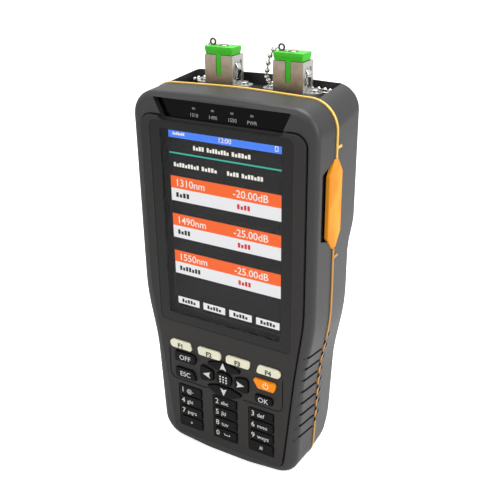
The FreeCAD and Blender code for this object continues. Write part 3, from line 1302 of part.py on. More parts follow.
# ======================================================================================
# assembly
# ======================================================================================
def build():
    """All sub-parts by name."""
    ring = seam_ring()
    keys = key_wires()
    parts = {
        "front_housing": front_housing(ring),
        "rear_housing": rear_housing(ring),
        "seam_gasket": seam_gasket(ring),
        "front_panel": front_panel(keys),
        "display_window": display_window(),
        "lcd_panel": lcd_panel(),
        "lcd_backlight": lcd_backlight(),
        "lcd_frame": lcd_frame(),
        "indicator_window": indicator_window(),
        "indicator_leds": indicator_leds(),
        "indicator_board": indicator_board(),
        "keypad_mat": keypad_mat(),
        "keypad_board": keypad_board(),
        "board_supports": board_spacers() + [usb_riser()],
        "main_board": main_board(),
        "shield_can": shield_can(),
        "battery_pack": battery_pack(),
        "battery_cover": battery_cover(),
        "case_screws": housing_screws() + cover_screws(),
        "port_cover": port_cover(),
        "usb_socket": usb_socket(),
        "charging_jack": charging_jack(),
        "connector_plate": connector_plate(),
        "flange_screws": flange_screws(),
    }
    for name, (wire, top_y) in keys.items():
        parts[name] = key_cap(wire, top_y)
    for name, x in (("left", -ADAPTER_X), ("right", ADAPTER_X)):
        parts["adapter_" + name] = adapter_shell(x)
        parts["dust_cap_" + name] = dust_cap(x)
        parts["cap_ring_" + name] = [cap_tab(x), cap_rivet(x)]
    parts["ball_chain_left"] = ball_chain(-ADAPTER_X, dropped_route(-ADAPTER_X), -1)
    parts["ball_chain_right"] = ball_chain(ADAPTER_X, draped_route(ADAPTER_X), 1)
    parts["ferrule_sleeves"] = [ferrule_sleeve(-ADAPTER_X), ferrule_sleeve(ADAPTER_X)]
    parts["detectors"] = [detector(-ADAPTER_X), detector(ADAPTER_X)]
    parts["latch_springs"] = [latch_spring(-ADAPTER_X), latch_spring(ADAPTER_X)]
    return parts


def export(parts):
    """Write one STEP file for each sub-part, moved to the part's own origin."""
    os.makedirs("parts", exist_ok=True)
    for name, shape in parts.items():
        if isinstance(shape, list):
            shape = Part.makeCompound(shape)
        shape = shape.copy()
        shape.translate(FreeCAD.Vector(0, DEPTH_SHIFT, 0))
        shape.exportStep("parts/" + name + ".step")


if __name__ == "__main__":
    built = build()
    export(built)
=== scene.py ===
"""Handheld optical power meter, dressed on its fixed frame.

Finishes, key legends, the screen's picture, cap fittings, ball chains and the studio.
Lengths are metres, z is up and the front faces -y.
"""

import json
import logging
import math
from abc import ABC, abstractmethod
from dataclasses import dataclass, field
from enum import Enum
from typing import Any, Callable, Iterable, Sequence

import bpy
import numpy as np
from mathutils import Matrix, Vector

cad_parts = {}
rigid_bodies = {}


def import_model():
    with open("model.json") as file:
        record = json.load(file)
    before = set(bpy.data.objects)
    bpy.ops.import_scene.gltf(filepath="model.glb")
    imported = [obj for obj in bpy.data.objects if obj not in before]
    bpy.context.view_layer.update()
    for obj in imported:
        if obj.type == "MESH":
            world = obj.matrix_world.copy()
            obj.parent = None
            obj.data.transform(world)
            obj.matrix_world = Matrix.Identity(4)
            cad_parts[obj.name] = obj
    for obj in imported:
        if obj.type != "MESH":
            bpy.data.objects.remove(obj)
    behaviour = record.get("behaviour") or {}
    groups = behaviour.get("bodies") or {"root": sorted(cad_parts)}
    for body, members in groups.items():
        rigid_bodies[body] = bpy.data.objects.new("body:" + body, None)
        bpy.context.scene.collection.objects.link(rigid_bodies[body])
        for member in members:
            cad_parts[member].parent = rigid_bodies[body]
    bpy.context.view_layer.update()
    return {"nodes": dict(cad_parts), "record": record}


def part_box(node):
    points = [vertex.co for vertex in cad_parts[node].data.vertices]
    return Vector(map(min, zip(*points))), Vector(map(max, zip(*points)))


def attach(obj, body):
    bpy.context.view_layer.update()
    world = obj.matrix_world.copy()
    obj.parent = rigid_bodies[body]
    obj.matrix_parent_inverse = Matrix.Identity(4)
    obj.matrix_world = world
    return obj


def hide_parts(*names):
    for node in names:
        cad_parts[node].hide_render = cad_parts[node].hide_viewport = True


for leftover in list(bpy.data.objects):
    bpy.data.objects.remove(leftover)
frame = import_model()
LOG = logging.getLogger("power_meter")
MM = 0.001
WHITE = (1.0, 1.0, 1.0, 1.0)

Pair = tuple[float, float]
Triple = tuple[float, float, float]
Faces = Iterable[Sequence[int]]
Material = bpy.types.Material
Socket = bpy.types.NodeSocket


def shade(code: str, share: float = 1.0) -> tuple[float, ...]:
    """Opaque linear colour of a display colour code.

    Args:
        code: Six hexadecimal digits.
        share: Factor of the colour, which stops at full white.

    Returns:
        Red, green, blue and opacity.
    """
    values = (int(code[i:i + 2], 16) / 255 for i in (0, 2, 4))
    linear = (v / 12.92 if v <= 0.04045 else ((v + 0.055) / 1.055) ** 2.4 for v in values)
    return (*(min(1.0, v * share) for v in linear), 1.0)


def middle(node: str) -> Triple:
    """Middle of a node's box."""
    low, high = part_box(node)
    return tuple((a + b) / 2 for a, b in zip(low, high))


# ------------ shader arithmetic
def operation(name: str, reflected: bool = False) -> Callable[..., "Field"]:
    """Operator that adds one Math node.

    Args:
        name: The node's operation.
        reflected: True where the other value comes first.

    Returns:
        The operator, for a Field and another value.
    """
    def operator(self: "Field", other: Any = 0.0) -> "Field":
        """Result of the operation."""
        first, second = (other, self) if reflected else (self, other)
        node = self.tree.node("ShaderNodeMath", {0: first, 1: second}, operation=name)
        return Field(self.tree, node.outputs[0])
    return operator


class Field:
    """A number socket that takes part in arithmetic."""

    __add__, __radd__ = operation("ADD"), operation("ADD", True)
    __sub__, __rsub__ = operation("SUBTRACT"), operation("SUBTRACT", True)
    __mul__, __rmul__ = operation("MULTIPLY"), operation("MULTIPLY", True)
    __abs__ = operation("ABSOLUTE")
    higher, lower = operation("MAXIMUM"), operation("MINIMUM")
    wrapped = operation("FLOORED_MODULO")

    def __init__(self, tree: "Tree", socket: Socket) -> None:
        """Wrap a socket of the tree."""
        self.tree = tree
        self.socket = socket

    def rise(self, start: float, end: float) -> "Field":
        """Smooth step.

        Args:
            start: Value up to which it is 0.
            end: Value from which it is 1.

        Returns:
            The step.
        """
        values = {"Value": self, "From Min": start, "From Max": end}
        node = self.tree.node("ShaderNodeMapRange", values, interpolation_type="SMOOTHSTEP")
        return Field(self.tree, node.outputs["Result"])


class Tree:
    """Node tree of one material, or of the world."""

    def __init__(self, name: str, world: bool = False) -> None:
        """Start an empty tree.

        Args:
            name: Name of the new material or world.
            world: True for a world.
        """
        self.owner = (bpy.data.worlds if world else bpy.data.materials).new(name)
        self.output = "ShaderNodeOutputWorld" if world else "ShaderNodeOutputMaterial"
        self.owner.use_nodes = True
        self.owner.node_tree.nodes.clear()

    def node(self, kind: str, inputs: dict[Any, Any] | None = None,
             **settings: Any) -> bpy.types.Node:
        """Any node; its settings are made first, and then its sockets.

        Args:
            kind: Blender's node type.
            inputs: Socket name or number to a value, a Field, a socket, or a node, whose
                first output is taken.
            settings: Attributes of the node.

        Returns:
            The new node.
        """
        made = self.owner.node_tree.nodes.new(kind)
        for key, value in settings.items():
            setattr(made, key, value)
        for key, value in (inputs or {}).items():
            if isinstance(value, Field):
                value = value.socket
            elif isinstance(value, bpy.types.Node):
                value = value.outputs[0]
            if isinstance(value, Socket):
                self.owner.node_tree.links.new(value, made.inputs[key])
            else:
                made.inputs[key].default_value = value
        return made

    def point(self) -> Socket:
        """Object coordinates, which are the part's own."""
        return self.node("ShaderNodeTexCoord").outputs["Object"]

    def axis(self, name: str) -> Field:
        """One object coordinate."""
        return Field(self, self.node("ShaderNodeSeparateXYZ", {0: self.point()}).outputs[name])

    def stretched(self, scale: Triple) -> Socket:
        """Object coordinates with each axis scaled."""
        return self.node("ShaderNodeMapping", {"Vector": self.point(), "Scale": scale}).outputs[0]

    def noise(self, size: float, detail: float = 2.0, roughness: float = 0.5,
              scale: Triple = (1.0, 1.0, 1.0)) -> Field:
        """Noise from 0 to 1.

        Args:
            size: Size of its features.
            detail: Number of finer octaves.
            roughness: Weight of the finer octaves.
            scale: Scale of each coordinate; a small one draws the features out.

        Returns:
            The noise value.
        """
        point = self.point() if scale == (1.0, 1.0, 1.0) else self.stretched(scale)
        made = self.node("ShaderNodeTexNoise", {"Vector": point, "Scale": 1.0 / size,
                                                "Detail": detail, "Roughness": roughness})
        return Field(self, made.outputs[0])

    def cells(self, size: float) -> Field:
        """Distance to the nearest cell centre, for a pebbled grain of the given size."""
        made = self.node("ShaderNodeTexVoronoi", {"Vector": self.point(), "Scale": 1.0 / size})
        return Field(self, made.outputs["Distance"])

    def mixed(self, share: Field, first: Any, second: Any) -> Socket:
        """Colour between two colours or colour sockets by share."""
        return self.node("ShaderNodeMix", {0: share, 6: first, 7: second},
                         data_type="RGBA").outputs[2]

    def bump(self, height: Field, depth: float) -> Socket:
        """Normal of a relief of the given depth."""
        return self.node("ShaderNodeBump", {"Height": height, "Distance": depth,
                                            "Strength": 1.0}).outputs["Normal"]

    def close(self, shader: bpy.types.Node) -> Any:
        """Connect the output, and hand back the material or world."""
        self.node(self.output, {"Surface": shader})
        return self.owner

    def principled(self, values: dict[str, Any]) -> bpy.types.Node:
        """Principled shader with the given sockets."""
        return self.node("ShaderNodeBsdfPrincipled", values)


# ------------ finishes
class Finish(ABC):
    """Look of a piece, which becomes a material."""

    def build(self, name: str) -> Material:
        """Make the material.

        Args:
            name: Its name.

        Returns:
            The material.
        """
        tree = Tree(name)
        return tree.close(self.shader(tree))

    @abstractmethod
    def shader(self, tree: Tree) -> bpy.types.Node:
        """Shader of this finish, in the given tree."""


@dataclass(frozen=True)
class Moulded(Finish):
    """Moulded plastic or rubber with a fine eroded grain."""

    colour: str
    roughness: float = 0.5  # middle roughness
    grain: float = 0.3 * MM
    relief: float = 0.01 * MM  # height of the grain
    drift: float = 0.12  # how far roughness and tone wander over the surface, as a share
    gloss: float = 0.5  # level of the mirror-like part; 0.5 is that of common plastic
    cloud: float = 14 * MM  # size of the clouds in which they wander

    def shader(self, tree: Tree) -> bpy.types.Node:
        """Wandering tone and roughness, with the grain as relief."""
        cloud = tree.noise(self.cloud, 3.0)
        return tree.principled({
            "Base Color": self.paint(tree, cloud),
            "Roughness": (cloud * (self.drift * self.roughness)
                          + self.roughness * (1 - self.drift / 2)),
            "Normal": tree.bump(self.height(tree), self.relief),
            "Specular IOR Level": self.gloss,
        })

    def paint(self, tree: Tree, cloud: Field) -> Socket:
        """Colour that wanders between a darker and a lighter tone with the cloud."""
        return tree.mixed(cloud, shade(self.colour, 1 - self.drift),
                          shade(self.colour, 1 + self.drift))

    def height(self, tree: Tree) -> Field:
        """Relief: pebbles of the grain's size with a finer roughness on them."""
        return tree.cells(self.grain) * 0.7 + tree.noise(self.grain * 0.6, 3.0) * 0.5


@dataclass(frozen=True)
class Region:
    """Block of space, with soft sides, in which a finish changes."""

    low: Triple
    high: Triple
    soft: float = 0.2 * MM  # width of its soft sides

    def inside(self, tree: Tree) -> Field:
        """1 inside and 0 outside: 1 less the largest of the three overshoots.

        Args:
            tree: Tree of the material.

        Returns:
            The share of the block.
        """
        over = []
        for name, low, high in zip("XYZ", self.low, self.high):
            half = (high - low) / 2
            over.append(abs(tree.axis(name) - (low + high) / 2).rise(half, half + self.soft))
        return 1.0 - over[0].higher(over[1]).higher(over[2])


@dataclass(frozen=True)
class Strokes:
    """Row of slanted strokes of painted shade, one above the other, on both flanks of the grip.
    """

    first: float  # height of the lowest stroke's lower edge at its start
    start: float  # depth (y) at which a stroke starts
    end: float  # depth at which it ends
    climb: float  # how much it climbs from start to end
    width: float  # height of a stroke
    spread: float = 0.0  # extra pitch of the starts, as a share, on the rounded front edge
    pitch: float = 5.55 * MM  # distance from one stroke to the next
    count: int = 8
    soft: float = 0.25 * MM  # width of a stroke's soft edge
    # depths between which the rounded front edge goes over into the flank
    front: Pair = (-18.6 * MM, -17.5 * MM)
    drop: float = 0.5 * MM  # how much lower the strokes lie on the front edge
    # where a stroke fades out, from its middle, as a share of its length
    caps: Pair = (0.49, 0.52)
    # half widths of the grip's foot between which the strokes begin
    foot: Pair = (29.6 * MM, 29.8 * MM)
    taper: float = 0.099  # how much the grip's half width grows with height

    def inside(self, tree: Tree) -> Field:
        """1 in a stroke: its line is z = first + climb * way + pitch * n, for way from 0 to 1.

        The flank is where |x| - taper * z is more than the half width of the grip's foot.

        Args:
            tree: Tree of the material.

        Returns:
            The share of the strokes.
        """
        depth, height = tree.axis("Y"), tree.axis("Z")
        way = (depth - self.start) * (1 / (self.end - self.start))
        reach = self.pitch * (self.count - 1) + self.width
        bend = (height - (self.first + reach)) * self.spread - self.drop
        level = height - bend * (1.0 - depth.rise(*self.front)) - way * self.climb - self.first
        half = self.width / 2
        across = abs(level.wrapped(self.pitch) - half)
        edge = across.rise(half - self.soft / 2, half + self.soft / 2)
        rows = abs(level - reach / 2).rise(reach / 2, reach / 2 + self.soft)
        flank = (abs(tree.axis("X")) - height * self.taper).rise(*self.foot)
        return (1.0 - edge.higher(abs(way - 0.5).rise(*self.caps)).higher(rows)).lower(flank)


@dataclass(frozen=True, kw_only=True)
class ShadedPlastic(Moulded):
    """Moulded plastic with painted shade, near black, in a sunken recess and in the grip's
    grooves.
    """

    recess: Region
    shadow_colour: str  # painted shade in the recess and the grooves
    grooves: tuple[Strokes, ...]

    def paint(self, tree: Tree, cloud: Field) -> Socket:
        """Wandering tone, and painted shade in the recess and the grooves.

        Args:
            tree: Tree of the material.
            cloud: Noise that the tone follows.

        Returns:
            The colour.
        """
        # painted shade: near black in the recess behind the port cover and along the strokes
        share = self.recess.inside(tree)
        for row in self.grooves:
            share = share.higher(row.inside(tree))
        return tree.mixed(share, super().paint(tree, cloud), shade(self.shadow_colour))


@dataclass(frozen=True, kw_only=True)
class SoftRubber(Moulded):
    """Rubber of the gasket, and of the cover that stands out of one region of it."""

    cover: Region
    cover_colour: str
    face: float  # how far across the body the cover's flat face begins
    rim_highlight_colour: str  # painted highlight on the cover's rim and in pale patches on its face
    slots: Strokes  # row of slots that cross the gasket
    shadow_colour: str  # painted shade in the slots
    lower_colour: str  # colour of the gasket lower down, where it is darker
    rim: float = 0.45 * MM  # width of the cover's rim with the painted highlight
    # heights between which the lower colour goes over into the upper one
    tone_heights: Pair = (90 * MM, 160 * MM)
    # size of the pale patches of painted highlight on the cover
    patch: float = 6 * MM
    wave: float = 5 * MM  # size of the soft waves on the cover
    swell: float = 70.0  # height of the waves, in times the grain's relief

    def paint(self, tree: Tree, cloud: Field) -> Socket:
        """Gasket tone with painted shade in its slots, and the cover's tone with painted
        highlights on its rim and in patches.

        Args:
            tree: Tree of the material.
            cloud: Noise that the tone follows.

        Returns:
            The colour.
        """
        # painted highlight: pale patches on the cover's face, and a pale rim along its edge
        patches = tree.noise(self.patch, scale=(1.0, 1.0, 0.4)).rise(0.35, 0.7)
        face = tree.mixed(patches, shade(self.cover_colour), shade(self.rim_highlight_colour))
        flat = tree.axis("X").rise(self.face - self.rim, self.face)
        cover = tree.mixed(flat, shade(self.rim_highlight_colour), face)
        # the gasket is darker towards the bottom
        height = tree.axis("Z").rise(*self.tone_heights)
        gasket = tree.mixed(height, shade(self.lower_colour), super().paint(tree, cloud))
        # painted shade along the slots that cross the gasket
        cut = tree.mixed(self.slots.inside(tree), gasket, shade(self.shadow_colour))
        return tree.mixed(self.cover.inside(tree), cut, cover)

    def height(self, tree: Tree) -> Field:
        """Fine grain, with soft waves where the cover is."""
        waves = tree.noise(self.wave, 2.0, 0.4, (1.0, 1.0, 0.5))
        return super().height(tree) + waves * self.cover.inside(tree) * self.swell


@dataclass(frozen=True, kw_only=True)
class LampLens(Moulded):
    """Dark lens with a paler strip across its middle."""

    middle: float  # height of the strip
    half: float = 0.3 * MM  # half of its width
    soft: float = 0.15 * MM  # width of its soft edge
    dark: str  # colour of the rest

    def paint(self, tree: Tree, cloud: Field) -> Socket:
        """Strip colour where |z - middle| is under the half width, and dark elsewhere."""
        off = abs(tree.axis("Z") - self.middle).rise(self.half, self.half + self.soft)
        return tree.mixed(off, super().paint(tree, cloud), shade(self.dark))


@dataclass(frozen=True)
class BrushedMetal(Finish):
    """Plated sheet metal with fine lines along one axis."""

    colour: str
    roughness: float = 0.3  # middle roughness
    lines: Triple = (1.0, 1.0, 0.04)  # scale of the coordinates, small along the brushing
    mottle: float = 0.25  # depth of the cloudy tone, as a share
    relief: float = 0.004 * MM  # height of the lines
    line: float = 0.16 * MM
    cloud: float = 5 * MM

    def shader(self, tree: Tree) -> bpy.types.Node:
        """Streaks and clouds in tone and roughness, with the streaks as relief.

        Args:
            tree: Tree of the material.

        Returns:
            The shader.
        """
        streak = tree.noise(self.line, 3.0, 0.6, self.lines)
        cloud = tree.noise(self.cloud, 3.0, 0.6)
        tone = tree.mixed((streak * 0.45 + cloud * 0.55).rise(0.25, 0.75),
                          shade(self.colour, 1 - self.mottle),
                          shade(self.colour, 1 + self.mottle / 2))
        return tree.principled({
            "Base Color": self.paint(tree, tone),
            "Metallic": 1.0,
            "Roughness": streak * 0.15 + cloud * 0.1 + (self.roughness - 0.12),
            "Normal": tree.bump(streak, self.relief),
        })

    def paint(self, tree: Tree, tone: Socket) -> Socket:
        """The brushed tone as it is."""
        return tone


@dataclass(frozen=True, kw_only=True)
class AdapterPlating(BrushedMetal):
    """Plating that is bare and bright on the flanks and the flange of both adapters."""

    middle: float  # distance of an adapter's middle from the body's middle plane
    half: float = 6.35 * MM  # half width of its brushed front
    soft: float = 0.15 * MM  # width of the soft edge between the two
    bright: str  # colour of the bare plating

    def paint(self, tree: Tree, tone: Socket) -> Socket:
        """Brushed tone, and the bright colour where ||x| - middle| is over the half width."""
        off = abs(abs(tree.axis("X")) - self.middle).rise(self.half - self.soft, self.half)
        return tree.mixed(off, tone, shade(self.bright))


@dataclass(frozen=True)
class Bright(Finish):
    """Bright plating with faint smears."""

    colour: str
    roughness: float = 0.08  # roughness between the smears
    smear: float = 1.6 * MM
    dulling: float = 0.86  # tone of a smear, as a share
    relief: float = 0.01 * MM

    def shader(self, tree: Tree) -> bpy.types.Node:
        """Smears in tone, roughness and relief."""
        smear = tree.noise(self.smear, 3.0, 0.6)
        return tree.principled({
            "Base Color": tree.mixed(smear, shade(self.colour, self.dulling),
                                     shade(self.colour)),
            "Metallic": 1.0,
            "Roughness": smear * 0.1 + self.roughness,
            "Normal": tree.bump(smear, self.relief),
        })


@dataclass(frozen=True)
class Lit(Finish):
    """Ink or lamp that gives its own light, as a display's picture does."""

    colour: str
    base: float = 0.0  # share of the colour that also reflects
    dots: float = 0.2 * MM  # size of the display's unevenness

    def shader(self, tree: Tree) -> bpy.types.Node:
        """Slightly uneven light over a dim base."""
        return tree.principled({
            "Base Color": shade(self.colour, self.base),
            "Roughness": 0.6,
            "Specular IOR Level": 0.1,
            "Emission Color": tree.mixed(tree.noise(self.dots, 1.0), shade(self.colour, 0.97),
                                         shade(self.colour)),
            "Emission Strength": 1.0,
        })


@dataclass(frozen=True)
class DisplayGlass(Finish):
    """Hard window, clear over the screen and printed dark round it."""

    half_width: float  # half width of the clear field
    foot: float  # lower edge of the clear field
    top: float  # upper edge of the clear field
    border: str
    soft: float = 0.1 * MM  # width of the border's soft edge
    haze: float = 30 * MM  # size of the faint haze in its gloss
    mirror: float = 0.35  # weight of the reflection on the clear field

    def shader(self, tree: Tree) -> bpy.types.Node:
        """Printed ink outside the field, and inside it a clear pane with a faint mirror.

        Args:
            tree: Tree of the material.

        Returns:
            The shader.
        """
        half = (self.top - self.foot) / 2
        across = abs(tree.axis("X")).rise(self.half_width, self.half_width + self.soft)
        along = abs(tree.axis("Z") - (self.foot + half)).rise(half, half + self.soft)
        haze = tree.noise(self.haze)
        ink = tree.principled({"Base Color": shade(self.border),
                               "Roughness": haze * 0.08 + 0.12, "Specular IOR Level": 0.2})
        gloss = tree.node("ShaderNodeBsdfGlossy", {"Color": WHITE,
                                                   "Roughness": haze * 0.05 + 0.08})
        clear = tree.node("ShaderNodeBsdfTransparent", {"Color": (0.97, 0.97, 0.97, 1.0)})
        rim = Field(tree, tree.node("ShaderNodeFresnel", {"IOR": 1.45}).outputs[0])
        inner = Field(tree, tree.node("ShaderNodeNewGeometry").outputs["Backfacing"])
        pane = tree.node("ShaderNodeMixShader",
                         {0: rim * (1.0 - inner) * self.mirror, 1: clear, 2: gloss})
        return tree.node("ShaderNodeMixShader", {0: across.higher(along), 1: pane, 2: ink})


# ------------ meshes worked out as arrays
@dataclass
class Shape:
    """Vertices and faces that are gathered before they become one object."""

    points: list[np.ndarray] = field(default_factory=list)
    faces: list[tuple[int, ...]] = field(default_factory=list)
    count: int = 0

    def add(self, points: np.ndarray, faces: Faces, shift: Sequence[float] = (0, 0, 0)) -> None:
        """Add vertices and the faces that join them.

        Args:
            points: The vertices, n by 3.
            faces: Vertex numbers of each face, from 0.
            shift: How far the vertices are moved.
        """
        self.faces.extend(tuple(int(i) + self.count for i in f) for f in faces)
        self.points.append(points + np.array(shift))
        self.count += len(points)

    def plate(self, low: Sequence[float], high: Sequence[float]) -> None:
        """Add a block between two corners."""
        grid = np.stack(np.meshgrid(*zip(low, high), indexing="ij"), axis=-1).reshape(-1, 3)
        self.add(grid, [(0, 1, 3, 2), (4, 6, 7, 5), (0, 4, 5, 1), (2, 3, 7, 6), (0, 2, 6, 4),
                        (1, 5, 7, 3)])

    def build(self, name: str, material: Material, smooth: bool = False) -> bpy.types.Object:
        """Object of what was gathered, at the origin.

        Args:
            name: Name of the piece.
            material: Its finish.
            smooth: True for a round form.

        Returns:
            The new object.
        """
        mesh = bpy.data.meshes.new(name)
        mesh.from_pydata(np.concatenate(self.points).tolist(), [], self.faces)
        mesh.materials.append(material)
        mesh.polygons.foreach_set("use_smooth", [smooth] * len(mesh.polygons))
        mesh.validate()
        mesh.update()
        made = bpy.data.objects.new(name, mesh)
        bpy.context.scene.collection.objects.link(made)
        return made


def settle(piece: bpy.types.Object, body: str) -> None:
    """Make a new piece ride on its body.

    Args:
        piece: The piece.
        body: The body that carries it.
    """
    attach(piece, body)
    LOG.info("%s: %d faces on %s", piece.name, len(piece.data.polygons), body)


def collar(first: np.ndarray, second: np.ndarray) -> Faces:
    """Quads between two closed rings of vertex numbers."""
    return np.stack([first, second, np.roll(second, -1), np.roll(first, -1)], axis=1)


def quads(index: np.ndarray) -> Faces:
    """Quads of a grid of vertex numbers."""
    return np.stack([index[:-1, :-1], index[1:, :-1], index[1:, 1:], index[:-1, 1:]],
                    axis=-1).reshape(-1, 4)


def prism(centre: Sequence[float], outline: np.ndarray, front: float, back: float,
          ends: np.ndarray | None = None) -> tuple[np.ndarray, Faces]:
    """Prism: a closed outline in x and z at the front depth, and again at the back depth.

    Args:
        centre: Where the outline's origin lies in x and z.
        outline: Its points, n by 2, clockwise as seen from the front.
        front: Depth (y) of the front end.
        back: Depth of the back end.
        ends: Faces that fill the front end, or None for a single one.

    Returns:
        Vertices and faces.
    """
    n = len(outline)
    ring = np.arange(n)
    place = np.tile(outline + np.array(centre), (2, 1))
    points = np.stack([place[:, 0], np.repeat([front, back], n), place[:, 1]], axis=1)
    ends = ring[None] if ends is None else ends
    return points, [*ends[:, ::-1], *(ends + n), *collar(ring + n, ring)]


def lathe(profile: np.ndarray, around: int) -> tuple[np.ndarray, Faces]:
    """Solid of revolution: (r cos a, r sin a, z) for the profile's points (r, z).

    Args:
        profile: Points from the top one on the axis to the bottom one on the axis.
        around: Number of steps of the angle a.

    Returns:
        Vertices and faces.
    """
    turn = np.linspace(0, 2 * math.pi, around, endpoint=False)
    body = profile[1:-1]
    walls = np.stack([np.outer(body[:, 0], np.cos(turn)), np.outer(body[:, 0], np.sin(turn)),
                      np.repeat(body[:, 1:], around, axis=1)], axis=-1)
    poles = [[0, 0, profile[0, 1]], [0, 0, profile[-1, 1]]]
    points = np.concatenate([walls.reshape(-1, 3), poles])
    index = np.arange(walls[..., 0].size).reshape(-1, around)
    top, foot = (np.full(around, len(points) - i) for i in (2, 1))
    caps = [np.stack([top, index[0], np.roll(index[0], -1)], axis=1),
            np.stack([foot, np.roll(index[-1], -1), index[-1]], axis=1)]
    return points, [*quads(np.pad(index, ((0, 0), (0, 1)), "wrap")), *caps[0], *caps[1]]


def sheet(front: np.ndarray, shift: Sequence[float]) -> tuple[np.ndarray, Faces]:
    """Closed sheet: a grid of points, the same grid shifted, and the walls between them.

    Args:
        front: Points of one side, n by m by 3.
        shift: Way from that side to the other one.

    Returns:
        Vertices and faces.
    """
    n, m = front.shape[:2]
    index = np.arange(n * m).reshape(n, m)
    near = quads(index)
    edge = np.concatenate([index[0, :-1], index[:-1, -1], index[-1, :0:-1], index[:0:-1, 0]])
    side = front.reshape(-1, 3)
    return (np.concatenate([side, side + np.array(shift)]),
            [*near, *(near[:, ::-1] + n * m), *collar(edge + n * m, edge)])


def wire_ring(radius: float, wire: float) -> tuple[np.ndarray, Faces]:
    """Upright ring: ((R + w cos v) cos u, w sin v, (R + w cos v) sin u).

    Args:
        radius: Radius R of its middle line.
        wire: Radius w of its wire.

    Returns:
        Vertices and faces.
    """
    u, v = np.meshgrid(np.linspace(0, 2 * math.pi, 40, endpoint=False),
                       np.linspace(0, 2 * math.pi, 14, endpoint=False), indexing="ij")
    out = radius + wire * np.cos(v)
    points = np.stack([out * np.cos(u), wire * np.sin(v), out * np.sin(u)], axis=-1)
    index = np.pad(np.arange(u.size).reshape(u.shape), (0, 1), "wrap")
    return points.reshape(-1, 3), quads(index.T)


def rod(start: np.ndarray, end: np.ndarray, radius: float) -> tuple[np.ndarray, Faces]:
    """Round rod: a ring of ten points at its start, and the same ring at its end.

    Args:
        start: Middle of the one end.
        end: Middle of the other end.
        radius: Radius of the rod.

    Returns:
        Vertices and faces.
    """
    way = Vector(end - start)
    turned = np.array(way.to_track_quat("Z", "Y").to_matrix())
    ring = np.concatenate([arc_points(radius, 0, 360 - 36, 10), np.zeros((10, 1))], axis=1)
    points = np.concatenate([ring, ring + [0, 0, way.length]]) @ turned.T + start
    row = np.arange(10)
    return points, [row[::-1], row + 10, *collar(row + 10, row)]


def arc_points(radius: float, start: float, end: float, count: int) -> np.ndarray:
    """Points (cos, sin) times radius at equal steps of the angle, in degrees."""
    turn = np.radians(np.linspace(start, end, count))
    return np.stack([np.cos(turn), np.sin(turn)], axis=1) * radius


@dataclass(frozen=True)
class Lettering:
    """Flat letters that stand a hair proud of a plane facing the user."""

    plane: float  # depth (y) of the plane
    thick: float = 0.03 * MM  # how far the letters stand proud
    bold: float = 0.004  # widening of the strokes, as a share of the size
    capital: float = 0.70  # height of the capitals, as a share of the size

    def write(self, shape: Shape, text: str, x: float, z: float, height: float,
              align: str = "CENTER") -> None:
        """Add text to a shape.

        Args:
            shape: Gathers the letters.
            text: What it says.
            x: Place across, of the middle or of the start.
            z: Height of the middle of the capitals.
            height: Height of the capitals.
            align: CENTER, LEFT or RIGHT.
        """
        curve = bpy.data.curves.new("letters", "FONT")
        curve.body = text
        curve.size = height / self.capital
        curve.align_x = align
        curve.offset = self.bold * curve.size
        curve.resolution_u = 3
        curve.extrude = self.thick
        carrier = bpy.data.objects.new("letters", curve)
        bpy.context.scene.collection.objects.link(carrier)
        bpy.context.view_layer.update()
        mesh = bpy.data.meshes.new_from_object(
            carrier.evaluated_get(bpy.context.evaluated_depsgraph_get()))
        flat = np.empty(len(mesh.vertices) * 3)
        mesh.vertices.foreach_get("co", flat)
        flat = flat.reshape(-1, 3)
        turned = np.stack([flat[:, 0] + x, self.plane - flat[:, 2],
                           flat[:, 1] + z - height / 2], axis=1)
        shape.add(turned, [tuple(p.vertices) for p in mesh.polygons])
        bpy.data.objects.remove(carrier)
        bpy.data.curves.remove(curve)
        bpy.data.meshes.remove(mesh)


